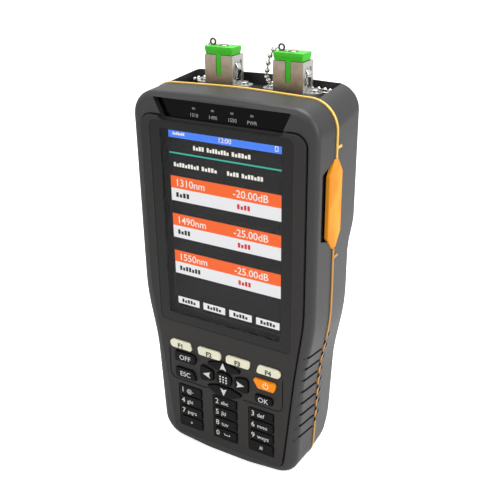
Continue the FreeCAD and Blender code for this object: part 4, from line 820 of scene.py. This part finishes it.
# ------------ the picture on the screen
@dataclass
class ScreenPicture:
    """Bars, fields and readings shown by the display, as one piece for each ink."""

    half_width: float = 25.45 * MM
    height: float = 77.0 * MM
    bar: float = 3.4 * MM  # height of the bar at its top
    # upper and lower edge of the line under the title, from the top
    line: Pair = (9.2 * MM, 9.75 * MM)
    rows: Triple = (18.9 * MM, 34.8 * MM, 51.0 * MM)  # upper edge of each row, from the top
    row_orange: float = 5.1 * MM  # height of a row's orange field
    row_white: float = 5.25 * MM  # height of its white field
    # wavelength and level in each row
    readings: tuple[tuple[str, str], ...] = (("1310nm", "-20.00dB"), ("1490nm", "-25.00dB"),
                                             ("1550nm", "-25.00dB"))
    labels: Triple = (6.6 * MM, 6.2 * MM, 10.4 * MM)  # length of the word in each row
    # word lengths, left end, distance from the top and height of the other words, in millimetres
    captions: tuple[tuple[tuple[float, ...], float, float, float], ...] = (
        ((5.6,), -23.4, 1.7, 1.1), ((5.2, 10.0, 8.4), -14.2, 6.4, 1.7),
        ((12.0, 7.2), -23.6, 14.1, 1.7), ((5.4, 9.4), 0.8, 14.1, 1.7))
    tab_top: float = 72.3 * MM  # upper edge of the tabs at the foot, from the top
    tab_height: float = 3.2 * MM
    tab_lefts: tuple[float, ...] = (-24.9 * MM, -12.3 * MM, 0.3 * MM, 12.9 * MM)
    tab_width: float = 10.6 * MM
    # left end, middle height, width, height and line width of the battery sign
    battery: tuple[float, ...] = (21.2 * MM, 1.75 * MM, 1.4 * MM, 1.9 * MM, 0.28 * MM)
    letter: float = 0.78  # pitch of a word's blocks, as a share of their height
    stem: float = 0.72  # width of a block, as a share of the pitch
    level: float = 0.04 * MM  # thickness of one layer of the picture
    # each ink with the code of its colour
    inks: tuple[tuple[str, str], ...] = (
        ("blue", "4B87FF"), ("teal", "3CBEAA"), ("orange", "FF6A28"), ("white", "F0F0F2"),
        ("black", "2A2A2A"), ("red", "D82438"), ("pale", "F6F2EA"))

    def __post_init__(self) -> None:
        """Read the screen's box, and start one shape for each ink."""
        low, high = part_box("lcd_panel")
        self.top = high.z - ((high.x - low.x) / 2 - self.half_width)
        self.plane = low.y
        self.shapes = {ink: Shape() for ink, _ in self.inks}

    def band(self, ink: str, left: float, right: float, start: float, end: float,
             layer: int = 1) -> None:
        """Add a field.

        Args:
            ink: Its ink.
            left: Left side.
            right: Right side.
            start: Upper edge, from the top.
            end: Lower edge, from the top.
            layer: Layer of the picture; 2 lies on 1.
        """
        proud = self.level * layer
        self.shapes[ink].plate((left, self.plane - proud, self.top - end),
                               (right, self.plane - proud + self.level * 0.9, self.top - start))

    def words(self, ink: str, lengths: Sequence[float], left: float, middle: float,
              height: float) -> None:
        """Add rows of letter-sized blocks that stand for words; every third one is lower.

        Args:
            ink: Their ink.
            lengths: Length of each word.
            left: Left end of the first one.
            middle: Middle of the words, from the top.
            height: Height of a block.
        """
        for length in lengths:
            count = max(1, round(length / (height * self.letter)))
            step = length / count
            for i in range(count):
                top = middle - height * (0.2 if i % 3 == 1 else 0.5)
                self.band(ink, left + step * i, left + step * (i + self.stem), top,
                          middle + height / 2, 2)
            left += length + height * 0.6

    def build(self) -> None:
        """Build all fields, words and readings."""
        half = self.half_width
        pale = self.shapes["pale"]
        writing = Lettering(self.plane - 2 * self.level, self.level / 2)
        self.band("blue", -half, half, 0.0, self.bar)
        self.band("teal", -half, half, *self.line)
        writing.write(pale, "12:00", 0.0, self.top - self.bar / 2, 1.9 * MM)
        self.battery_sign()
        for lengths, *place in self.captions:
            self.words("pale", np.array(lengths) * MM, *(v * MM for v in place))
        for start, (wave, reading), label in zip(self.rows, self.readings, self.labels):
            split = start + self.row_orange
            end = split + self.row_white
            self.band("orange", -half, half, start, split)
            self.band("white", -half, half, split, end)
            level = self.top - (start + split) / 2
            writing.write(pale, wave, -23.4 * MM, level, 3.0 * MM, "LEFT")
            writing.write(pale, reading, 18.6 * MM, level, 3.0 * MM, "RIGHT")
            self.words("black", (label,), -23.2 * MM, (split + end) / 2, 2.0 * MM)
            self.words("red", (6.0 * MM,), 5.0 * MM, (split + end) / 2, 2.0 * MM)
        foot = self.tab_top + self.tab_height
        for left in self.tab_lefts:
            self.band("white", left, left + self.tab_width, self.tab_top, foot)
            self.words("black", (7.0 * MM,), left + 2.0 * MM, (self.tab_top + foot) / 2, 1.7 * MM)
        for ink, code in self.inks:
            name = "screen_" + ink
            settle(self.shapes[ink].build(name, Lit(code).build(name + "_ink")),
                   "housing")

    def battery_sign(self) -> None:
        """Small battery outline at the right end of the top bar."""
        x, z, w, h, t = self.battery
        top, foot = z - h / 2, z + h / 2
        for left, right, start, end in ((x, x + w, top, top + t), (x, x + w, foot - t, foot),
                                        (x, x + t, top, foot), (x + w - t, x + w, top, foot)):
            self.band("pale", left, right, start, end, 2)


# ------------ legends
class Arrow(Enum):
    """Arrow keys, each with the angle to which its arrowhead points."""

    UP = 90
    DOWN = 270
    LEFT = 180
    RIGHT = 0


@dataclass
class KeyTop:
    """Legend that is gathered on one key; its places count from the middle of the top."""

    key: str
    proud: float = 0.03 * MM  # how far the legend stands out of it

    def __post_init__(self) -> None:
        """Read where the key's top lies."""
        self.shape = Shape()
        self.x, _, self.z = middle("key_" + self.key)
        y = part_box("key_" + self.key)[0].y
        self.depths = y - self.proud, y + self.proud
        self.plane = y

    def text(self, text: str, x: float, z: float, height: float, align: str = "CENTER",
             bold: float = 0.004) -> None:
        """Add letters, as Lettering does."""
        Lettering(self.plane, self.proud, bold).write(self.shape, text, self.x + x, self.z + z,
                                                      height, align)

    def form(self, outline: np.ndarray, x: float, z: float,
             ends: np.ndarray | None = None) -> None:
        """Add a flat form, as a prism."""
        self.shape.add(*prism((self.x + x, self.z + z), outline, *self.depths, ends))

    def bar(self, left: float, right: float, foot: float, top: float) -> None:
        """Add a bar with the given sides."""
        front, back = self.depths
        self.shape.plate((self.x + left, front, self.z + foot),
                         (self.x + right, back, self.z + top))

    def finish(self, material: Material, slot: str = "cream_key") -> None:
        """Turn the legend into a piece that rides on its key."""
        settle(self.shape.build("legend_" + self.key, material), f"key_{self.key}_cap")


@dataclass
class KeyLegends:
    """Legends on the key tops, each riding on its own key."""

    # height of the digits, and their place from the key's middle
    digit: Pair = (2.5 * MM, -3.9 * MM)
    # height of the letters beside them, and their start, across and upwards
    letters: Triple = (1.9 * MM, -1.9 * MM, -0.15 * MM)
    word: float = 2.3 * MM
    # height, place upwards and boldness of the legends F1 to F4
    soft: Triple = (2.1 * MM, -0.35 * MM, 0.045)
    # distance of an arrowhead's four points from its middle, in millimetres
    arrow: tuple[float, ...] = (2.1, 2.2, 0.95, 2.2)
    # radius of a dot, and the distance between dots across and upwards
    dot: Triple = (0.42 * MM, 1.45 * MM, 1.25 * MM)
    # outer and inner radius of the power sign, and its place across
    ring: Triple = (1.35 * MM, 1.02 * MM, 0.6 * MM)
    # half width, foot and top of the power sign's stroke
    stroke: Triple = (0.18 * MM, 0.1 * MM, 1.7 * MM)
    # width, height and line width of the space sign
    space: Triple = (2.8 * MM, 0.9 * MM, 0.3 * MM)
    # place of the middle of its foot, across and upwards
    space_place: Pair = (0.8 * MM, -0.4 * MM)
    # digit and letters of each number key; without letters it is the space key
    numbers: tuple[tuple[str, str], ...] = (
        ("1", "@-"), ("2", "abc"), ("3", "def"), ("4", "ghi"), ("5", "jkl"), ("6", "mno"),
        ("7", "pqrs"), ("8", "tuv"), ("9", "wxyz"), ("0", ""))
    # key, legend and place upwards of the other black keys
    words: tuple[tuple[str, str, float], ...] = (
        ("star", "*", -0.7 * MM), ("hash", "#", 0.0), ("off", "OFF", 0.0),
        ("escape", "ESC", 0.0), ("ok", "OK", 0.0))
    # place of each arrowhead, across and upwards
    shifts: tuple[Pair, ...] = ((0.0, 0.3 * MM), (0.0, 0.4 * MM), (0.4 * MM, 0.0),
                                (-0.4 * MM, 0.0))

    def build(self) -> None:
        """Legends of every key."""
        light, dark, cream = (
            Moulded(code, 0.5, 0.2 * MM, 0.002 * MM).build("legend_" + name)
            for name, code in (("light", "BDBDB9"), ("dark", "312E26"), ("cream", "FFD79A")))
        small, across, upwards = self.letters
        for digit, letters in self.numbers:
            top = KeyTop(digit)
            top.text(digit, self.digit[1], 0.0, self.digit[0])
            if letters:
                top.text(letters, across, upwards, small, "LEFT")
            else:
                self.space_sign(top)
            top.finish(light)
        for key, text, upwards in self.words:
            top = KeyTop(key)
            top.text(text, 0.0, upwards, self.word if len(text) > 1 else small)
            top.finish(light)
        for key in ("f1", "f2", "f3", "f4"):
            height, upwards, bold = self.soft
            top = KeyTop(key)
            top.text(key.upper(), 0.0, upwards, height, bold=bold)
            top.finish(dark, "black_key")
        for arrow, shift in zip(Arrow, self.shifts):
            top = KeyTop(arrow.name.lower())
            top.form(self.arrowhead(arrow), *shift, np.array([(0, 1, 3), (1, 2, 3)]))
            top.finish(light)
        self.centre_dots(light)
        self.power_sign(cream)

    def arrowhead(self, arrow: Arrow) -> np.ndarray:
        """Outline: a point, two barbs 135 degrees to its sides, and a notch between them.

        Args:
            arrow: Which arrow key it is for.

        Returns:
            Its four points in x and z.
        """
        turn = np.radians(np.array([225.0, 180.0, 135.0, 0.0]) + arrow.value)
        reach = np.array(self.arrow[::-1])[:, None] * MM
        return np.stack([np.cos(turn), np.sin(turn)], axis=1) * reach

    def space_sign(self, top: KeyTop) -> None:
        """Open box: a foot with a short wall at each end.

        Args:
            top: Legend that it goes into.
        """
        x, z = self.space_place
        w, h, t = self.space
        for left, right, foot, head in ((-w / 2, w / 2, 0.0, t), (-w / 2, -w / 2 + t, t, h),
                                        (w / 2 - t, w / 2, t, h)):
            top.bar(x + left, x + right, z + foot, z + head)

    def centre_dots(self, material: Material) -> None:
        """Three rows of three dots on the middle key.

        Args:
            material: Their finish.
        """
        top = KeyTop("centre")
        radius, across, upwards = self.dot
        for row in (-1, 0, 1):
            for column in (-1, 0, 1):
                top.form(arc_points(radius, 360, 30, 12), column * across, row * upwards)
        top.finish(material)

    def power_sign(self, material: Material) -> None:
        """Open ring, whose ends are strips between its two arcs, and a stroke at its gap.

        Args:
            material: Its finish.
        """
        top = KeyTop("power")
        outer, inner, x = self.ring
        n = 28
        i = np.arange(n - 1)
        strips = np.stack([i, i + 1, 2 * n - 2 - i, 2 * n - 1 - i], axis=1)
        top.form(np.concatenate([arc_points(outer, 60, -240, n), arc_points(inner, -240, 60, n)]),
                 x, 0.0, strips)
        half, foot, head = self.stroke
        top.bar(x - half, x + half, foot, head)
        top.finish(material)


@dataclass
class IndicatorLabels:
    """Small numbers under the four lamps."""

    texts: tuple[str, ...] = ("1310", "1490", "1550", "PWR")
    pitch: float = 8.3 * MM  # distance from one to the next
    height: float = 1.35 * MM
    drop: float = 2.5 * MM  # how far they lie below the lamps

    def build(self) -> None:
        """Labels as one piece on the indicator window."""
        shape = Shape()
        ink = Lettering(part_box("indicator_window")[0].y, 0.02 * MM)
        z = middle("indicator_leds")[2] - self.drop
        for i, text in enumerate(self.texts):
            x = (i - (len(self.texts) - 1) / 2) * self.pitch
            ink.write(shape, text, x, z, self.height)
        material = Moulded("989898", 0.5, 0.2 * MM, 0.001 * MM).build("indicator_ink")
        settle(shape.build("indicator_labels", material), "housing")


# ------------ fittings of the adapters and their caps
@dataclass
class CapFitting:
    """Domed rivet, tab and round ring on top of a dust cap."""

    side: str  # left or right
    reach: float = 4.9 * MM  # distance of the ring from the cap's rivet
    ring: float = 1.12 * MM  # radius of the ring's middle line
    wire: float = 0.36 * MM  # radius of its wire
    tab: float = 0.25 * MM
    tab_half: float = 0.7 * MM
    # radius and height of the rivet's profile, in millimetres
    dome: tuple[Pair, ...] = ((0.0, 0.66), (0.7, 0.64), (1.3, 0.56), (1.75, 0.4),
                              (1.97, 0.16), (2.0, 0.0), (0.0, 0.0))

    def __post_init__(self) -> None:
        """Read where the plain rivet stands."""
        low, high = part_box("cap_ring_" + self.side)
        self.radius = (high.y - low.y) / 2
        self.x, self.y, self.z = high.x - self.radius, (low.y + high.y) / 2, low.z

    def ring_side(self) -> np.ndarray:
        """Point of the ring where the chain takes hold."""
        return np.array([self.x - self.reach - self.ring, self.y,
                         self.z + self.ring + self.wire * 0.5])

    def build(self, steel: Material, nickel: Material) -> None:
        """Rivet with its tab, and the ring.

        Args:
            steel: Finish of the ring.
            nickel: Finish of the rivet and the tab.
        """
        rivet = Shape()
        rivet.add(*lathe(np.array(self.dome) * MM, 32), (self.x, self.y, self.z))
        rivet.plate((self.x - self.reach - self.ring / 2, self.y - self.tab_half, self.z),
                    (self.x - self.radius / 2, self.y + self.tab_half, self.z + self.tab))
        piece = rivet.build("cap_rivet_" + self.side, nickel, True)
        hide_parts("cap_ring_" + self.side)
        settle(piece, "cap_" + self.side)
        ring = Shape()
        ring.add(*wire_ring(self.ring, self.wire), self.ring_side() + [self.ring, 0, 0])
        settle(ring.build("cap_loop_" + self.side, steel, True), "cap_" + self.side)


@dataclass
class LatchSprings:
    """Bright spring sheet with a bowed tongue in the flank of each adapter."""

    middle: float  # distance of an adapter's middle from the middle plane
    stand: float = 0.3 * MM  # distance of the sheet's face from the bottom of its recess
    ripple: float = 0.05 * MM  # height of the sheet's ripple
    thick: float = 0.22 * MM
    bow: float = 1.4 * MM  # height of the tongue's bow
    tongue_stand: float = 0.4 * MM  # distance of the tongue's ends from the bottom of the recess
    # half width of the tongue at its foot, and how much it gains
    tongue_half: Pair = (1.1 * MM, 0.5 * MM)
    tongue_inset: float = 1.2 * MM  # distance of the tongue from both ends of the recess
    tongue_thick: float = 0.1 * MM
    grid: tuple[int, int] = (7, 25)  # number of points across and along

    def build(self, material: Material) -> None:
        """Both sheets and tongues as one piece that replaces the plain springs.

        A sheet is x = stand + ripple cos(3 pi v); a tongue, which widens upwards, is
        x = tongue stand + bow v sin(pi v).

        Args:
            material: Their finish.
        """
        low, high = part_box("latch_springs")
        u, v = np.meshgrid(*(np.linspace(0, 1, n) for n in self.grid), indexing="ij")
        wide, gain = self.tongue_half
        shape = Shape()
        for x in (low.x, low.x + 2 * self.middle):
            shape.add(*sheet(np.stack([
                x + self.stand + self.ripple * np.cos(3 * math.pi * v),
                low.y + (high.y - low.y) * u,
                low.z + (high.z - low.z) * v], axis=-1), (-self.thick, 0, 0)))
            shape.add(*sheet(np.stack([
                x + self.tongue_stand + self.bow * v * np.sin(math.pi * v),
                (low.y + high.y) / 2 + (2 * u - 1) * (wide + gain * v),
                low.z + self.tongue_inset + (high.z - low.z - 2 * self.tongue_inset) * v],
                axis=-1), (-self.tongue_thick, 0, 0)))
        piece = shape.build("latch_sheets", material, True)
        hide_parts("latch_springs")
        settle(piece, "housing")


# ------------ ball chains
@dataclass
class BallChain:
    """Ball chain between a dust cap's ring and the flange screw.

    The hanging run is made twice: one copy stays with the housing, and one leaves with
    the cap, so that the chain still reaches the cap when it is lifted.
    """

    side: str  # left or right
    outward: int  # side of the adapter on which the chain ends, 1 or -1
    # points of the route from the adapter's middle, in millimetres; the height counts from the
    # cap's top for the first three points and then from the plate
    steps: tuple[Triple, ...]
    ball: float = 1.0 * MM  # radius of a ball
    pitch: float = 2.85 * MM  # distance from one ball to the next
    link: float = 0.3 * MM  # radius of the link between them
    hanging_foot: float = 162.3 * MM  # height above which a ball belongs to the hanging run
    inner: float = 0.96  # size of the copy that stays, as a share, so that the other one hides it
    screw: float = 1.5 * MM  # distance of the flange screw from the flange's end
    # lower and upper corner of the end strip in y and z, from the last ball
    strip: tuple[Pair, ...] = ((-0.8 * MM, 0.37 * MM), (0.2 * MM, 0.7 * MM))

    def centres(self) -> np.ndarray:
        """Middles of the balls, at equal steps that fill the route from ring to screw.

        Returns:
            The middles, n by 3.
        """
        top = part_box("dust_cap_" + self.side)[1].z
        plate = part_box("connector_plate")[1].z
        x, y, _ = middle("adapter_" + self.side)
        start = np.array([[x, y, top if i < 3 else plate] for i in range(len(self.steps))])
        route = np.array(self.steps) * MM + start
        runs = np.linalg.norm(np.diff(route, axis=0), axis=1)
        walked = np.concatenate([[0.0], np.cumsum(runs)])
        steps = np.linspace(0.0, walked[-1], int(walked[-1] / self.pitch + 0.5) + 1)
        return np.stack([np.interp(steps, walked, route[:, i]) for i in range(3)], axis=1)

    def strand(self, shape: Shape, centres: np.ndarray, share: float = 1.0) -> None:
        """Add balls and the short links between them.

        Args:
            shape: Gathers them.
            centres: Middles of the balls.
            share: Their size, as a share.
        """
        tilt = np.linspace(0, math.pi, 13)
        profile = np.stack([np.sin(tilt), np.cos(tilt)], axis=1) * self.ball * share
        for centre in centres:
            shape.add(*lathe(profile, 20), centre)
        for start, end in zip(centres[:-1], centres[1:]):
            shape.add(*rod(start, end, self.link * share))

    def build(self, material: Material) -> None:
        """Hanging end on the cap, and the whole chain with its end strip on the housing.

        Args:
            material: Finish of the chain.
        """
        centres = self.centres()
        lifted = int(np.argmax(centres[:, 2] < self.hanging_foot))
        hanging = Shape()
        self.strand(hanging, centres[:lifted])
        hanging.add(*rod(centres[0], CapFitting(self.side).ring_side(), self.link))
        settle(hanging.build("chain_end_" + self.side, material, True), "cap_" + self.side)
        lying = Shape()
        self.strand(lying, centres[1:lifted], self.inner)
        self.strand(lying, centres[lifted:])
        lying.add(*rod(centres[lifted - 1], centres[lifted], self.link))
        low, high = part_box("adapter_" + self.side)
        x, y, z = centres[-1]
        screw = high.x - self.screw if self.outward > 0 else low.x + self.screw
        lying.plate((min(screw, x), y + self.strip[0][0], z + self.strip[0][1]),
                    (max(screw, x), y + self.strip[1][0], z + self.strip[1][1]))
        chain = lying.build("chain_" + self.side, material, True)
        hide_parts("ball_chain_" + self.side)
        settle(chain, "housing")


# ------------ finishes of the frame's own nodes
@dataclass
class Wardrobe:
    """Finishes by record slot, given to every node that keeps its solid."""

    picture: ScreenPicture  # the screen's picture, which the window's clear field follows
    margin: float = 0.8 * MM  # how far that field reaches past the picture
    cap_shift: float = 0.4 * MM  # how far an adapter's middle lies outside its cap's middle
    # lower corner of the painted shade in the notch behind the port cover, from the cover's box
    notch_low: Triple = (-3.0 * MM, -4.9 * MM, 2.6 * MM)
    notch_high: Triple = (-1.6 * MM, -3.2 * MM, -0.6 * MM)  # its upper corner, from the same

    def __post_init__(self) -> None:
        """Build every finish."""
        self.adapter_middle = middle("dust_cap_right")[0] + self.cap_shift
        self.made = {slot: finish.build(slot + "_finish")
                     for slot, finish in (self.table() | self.seam_finishes()).items()}

    def seam_finishes(self) -> dict[str, Moulded]:
        """Housing and rubber, which share the notch, the cover and the grip's slots.

        Returns:
            Both finishes by their slots.
        """
        low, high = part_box("port_cover")
        notch = Region(tuple(a + b for a, b in zip((high.x, low.y, low.z), self.notch_low)),
                       tuple(a + b for a, b in zip(high, self.notch_high)))
        # strokes of painted shade: along the grip's grooves, and along the slots that cross the
        # gasket
        grooves = Strokes(22.65 * MM, -18.58 * MM, -4.6 * MM, -1.95 * MM, 1.0 * MM, 0.045)
        slots = Strokes(23.0 * MM, -5.2 * MM, 1.0 * MM, 3.7 * MM, 2.2 * MM)
        return {
            # housing: painted shade, near black, in the notch behind the port cover and along the
            # strokes
            "housing_plastic": ShadedPlastic(
                "252525", 0.44, 0.28 * MM, 0.012 * MM, gloss=0.36, recess=notch,
                shadow_colour="050505", grooves=(grooves, slots)),
            # rubber: painted shade in the slots, and painted highlights on the cover's rim and in
            # patches
            "orange_rubber": SoftRubber(
                "D6B058", 0.5, 0.4 * MM, 0.006 * MM, 0.1, 0.15,
                cover=Region(tuple(low), tuple(high), 0.05 * MM), cover_colour="DB7A04",
                face=high.x, rim_highlight_colour="E99426", slots=slots, shadow_colour="0C0A08",
                lower_colour="B08040"),
        }

    def table(self) -> dict[str, Finish]:
        """The other finishes.

        Returns:
            Each finish by its slot.
        """
        grain = 0.28 * MM
        key = {"roughness": 0.45, "grain": 0.25 * MM, "relief": 0.006 * MM}
        return {
            "panel_plastic": Moulded("211F1E", 0.5, grain, 0.008 * MM, gloss=0.22),
            "clear_window": DisplayGlass(self.picture.half_width + self.margin,
                                         self.picture.top - self.picture.height - self.margin,
                                         self.picture.top + self.margin, "131313"),
            "gloss_black": Moulded("040404", 0.14, 0.5 * MM, 0.001 * MM, 0.1, 0.07),
            "lamp_lens": LampLens("6E6E6B", 0.25, 0.3 * MM, 0.002 * MM, gloss=0.1,
                                  middle=middle("indicator_leds")[2], dark="101010"),
            "screen_glass": Lit("141415", 0.3),
            "light_guide": Moulded("E8E8EC", 0.2, 0.3 * MM, 0.001 * MM),
            "lcd_tray": Moulded("1A1A1A", 0.5, grain, 0.005 * MM),
            "switch_rubber": Moulded("62646A", 0.6, 0.3 * MM, 0.006 * MM),
            "circuit_board": Moulded("1F6B3C", 0.35, 1.2 * MM, 0.01 * MM, 0.3),
            "support_plastic": Moulded("222222", 0.5, grain, 0.008 * MM),
            "tinned_steel": BrushedMetal("C9C9C4", 0.3, (1.0, 0.05, 1.0)),
            "battery_wrap": Moulded("2F55A8", 0.25, 2 * MM, 0.01 * MM),
            "screw_steel": BrushedMetal("A6A6A8", 0.28, (1.0, 1.0, 0.2)),
            "pocket_plastic": Moulded("121212", 0.55, grain, 0.01 * MM, gloss=0.3),
            "adapter_metal": AdapterPlating("A89A8A", 0.34, (1.0, 1.0, 0.05), 0.3,
                                            middle=self.adapter_middle, bright="D6D4CE"),
            "ring_steel": Bright("45423F", 0.16),
            "rivet_nickel": Bright("918A83", 0.22),
            "spring_steel": Bright("E2E2E0", 0.12),
            "ceramic": Moulded("EDEBE4", 0.12, 0.5 * MM, 0.001 * MM),
            "green_plastic": Moulded("38B41E", 0.38, 0.3 * MM, 0.005 * MM, 0.08, 0.3),
            "chain_chrome": Bright("B4B2AD", 0.1),
            "cream_key": Moulded("CECBB4", drift=0.06, gloss=0.2, **key),
            "orange_key": Moulded("E08010", drift=0.08, gloss=0.15,
                                  **(key | {"roughness": 0.4})),
            "black_key": Moulded("0C0C0C", gloss=0.08, **key),
        }

    def dress(self) -> None:
        """Give each node the finish of its slot."""
        slots = {row["node"]: row["material_slot"] for row in frame["record"]["subparts"]}
        for name, node in frame["nodes"].items():
            for holder in node.material_slots:
                holder.material = self.made[slots[name]]
            LOG.info("%s: %s", name, slots[name])


# ------------ studio
@dataclass(frozen=True)
class AreaLamp:
    """Soft square lamp aimed at a point."""

    name: str
    place: Triple  # where it stands
    aim: Triple  # point it shines at
    size: float  # length of its side
    power: float  # power in watts

    def build(self) -> None:
        """Make the lamp."""
        data = bpy.data.lights.new(self.name, "AREA")
        data.size = self.size
        data.energy = self.power
        lamp = bpy.data.objects.new(self.name, data)
        lamp.location = self.place
        way = Vector(self.aim) - Vector(self.place)
        lamp.rotation_euler = way.to_track_quat("-Z", "Y").to_euler()
        bpy.context.scene.collection.objects.link(lamp)


@dataclass
class Studio:
    """Pale floor, soft lamps, white surroundings and the camera."""

    eye: Triple = (143.88 * MM, -241.68 * MM, 218.6 * MM)  # place of the camera
    azimuth: float = 30.5  # angle to the side from which it looks, in degrees
    elevation: float = 24.1  # angle at which it looks down
    roll: float = -0.61  # its turn about its own axis
    lens: float = 53.87  # focal length on a sensor 36 mm wide, in millimetres
    fill: float = 0.42  # strength of the surroundings as light
    grey: float = 0.86  # lightness of the floor
    glow: float = 0.68  # light that the camera sees besides on the floor
    floor_half: float = 3.0  # half of the floor's side
    lamps: tuple[AreaLamp, ...] = (
        AreaLamp("lamp_right", (0.75, -0.1, 0.45), (0.0, 0.0, 0.09), 0.6, 5.0),
        AreaLamp("lamp_front", (-0.35, -0.8, 0.55), (0.0, 0.0, 0.08), 0.7, 3.6),
        AreaLamp("lamp_top", (0.05, 0.1, 0.9), (0.0, 0.0, 0.1), 0.6, 10.0),
    )

    def build(self) -> None:
        """Make the whole studio."""
        for lamp in self.lamps:
            lamp.build()
        self.surroundings()
        self.floor()
        self.camera()
        bpy.context.scene.view_settings.view_transform = "Standard"

    def camera(self) -> None:
        """Camera whose axes follow from azimuth, elevation and roll."""
        a, e, r = (math.radians(v) for v in (self.azimuth, self.elevation, self.roll))
        ahead = Vector((-math.cos(e) * math.sin(a), math.cos(e) * math.cos(a), -math.sin(e)))
        level = Vector((math.cos(a), math.sin(a), 0.0))
        upright = level.cross(ahead)
        right = level * math.cos(r) + upright * math.sin(r)
        up = upright * math.cos(r) - level * math.sin(r)
        data = bpy.data.cameras.new("camera")
        data.lens = self.lens
        data.sensor_width = 36.0
        data.clip_start = 0.01
        camera = bpy.data.objects.new("camera", data)
        turned = Matrix((right, up, -ahead)).transposed().to_4x4()
        turned.translation = Vector(self.eye)
        camera.matrix_world = turned
        bpy.context.scene.collection.objects.link(camera)
        bpy.context.scene.camera = camera

    def surroundings(self) -> None:
        """World that is white to the camera and to reflections, and a soft fill otherwise."""
        tree = Tree("surroundings", world=True)
        path = tree.node("ShaderNodeLightPath")
        shown = Field(tree, path.outputs["Is Camera Ray"])
        for name in ("Is Glossy Ray", "Is Transmission Ray"):
            shown = shown.higher(path.outputs[name])
        fill, seen = (tree.node("ShaderNodeBackground", {"Color": WHITE, "Strength": strength})
                      for strength in (self.fill, 1.0))
        bpy.context.scene.world = tree.close(
            tree.node("ShaderNodeMixShader", {0: shown, 1: fill, 2: seen}))

    def floor(self) -> None:
        """Pale floor that shows white to the camera and keeps the shadow."""
        tree = Tree("floor_finish")
        seen = Field(tree, tree.node("ShaderNodeLightPath").outputs["Is Camera Ray"])
        matt = tree.node("ShaderNodeBsdfDiffuse", {"Color": (*(self.grey,) * 3, 1.0)})
        glow = tree.node("ShaderNodeEmission", {"Color": WHITE, "Strength": seen * self.glow})
        material = tree.close(tree.node("ShaderNodeAddShader", {0: matt, 1: glow}))
        h = self.floor_half
        shape = Shape()
        shape.add(np.array([[-h, -h, 0.0], [h, -h, 0.0], [h, h, 0.0], [-h, h, 0.0]]),
                  [(0, 1, 2, 3)])
        shape.build("floor", material)


def main() -> None:
    """Dress the frame, add what the solids leave out, and set up the studio."""
    logging.basicConfig(level=logging.INFO, format="%(message)s")
    picture = ScreenPicture()
    wardrobe = Wardrobe(picture)
    wardrobe.dress()
    picture.build()
    KeyLegends().build()
    IndicatorLabels().build()
    for side in ("left", "right"):
        CapFitting(side).build(wardrobe.made["ring_steel"], wardrobe.made["rivet_nickel"])
    LatchSprings(wardrobe.adapter_middle).build(wardrobe.made["spring_steel"])
    for chain in (
            BallChain("left", -1, (
                (-8.1, 0.9, -0.9), (-8.1, 3.6, -3.4), (-6.6, 6.0, -8.0), (-5.8, 6.2, 2.75),
                (-7.6, 6.65, 1.15), (-12.4, 6.05, 1.15), (-14.6, 3.7, 1.15),
                (-14.5, 0.4, 1.15))),
            BallChain("right", 1, (
                (-8.0, -0.4, 0.2), (-9.5, -0.5, -2.0), (-10.5, -0.6, -5.6), (-11.1, -0.5, 5.35),
                (-11.6, 2.0, 3.35), (-10.9, 5.2, 1.45), (-8.4, 6.65, 1.15), (8.0, 6.75, 1.15),
                (12.4, 6.05, 1.15), (14.6, 3.7, 1.15), (14.5, 0.4, 1.15)))):
        chain.build(wardrobe.made["chain_chrome"])
    Studio().build()


if __name__ == "__main__":
    main()
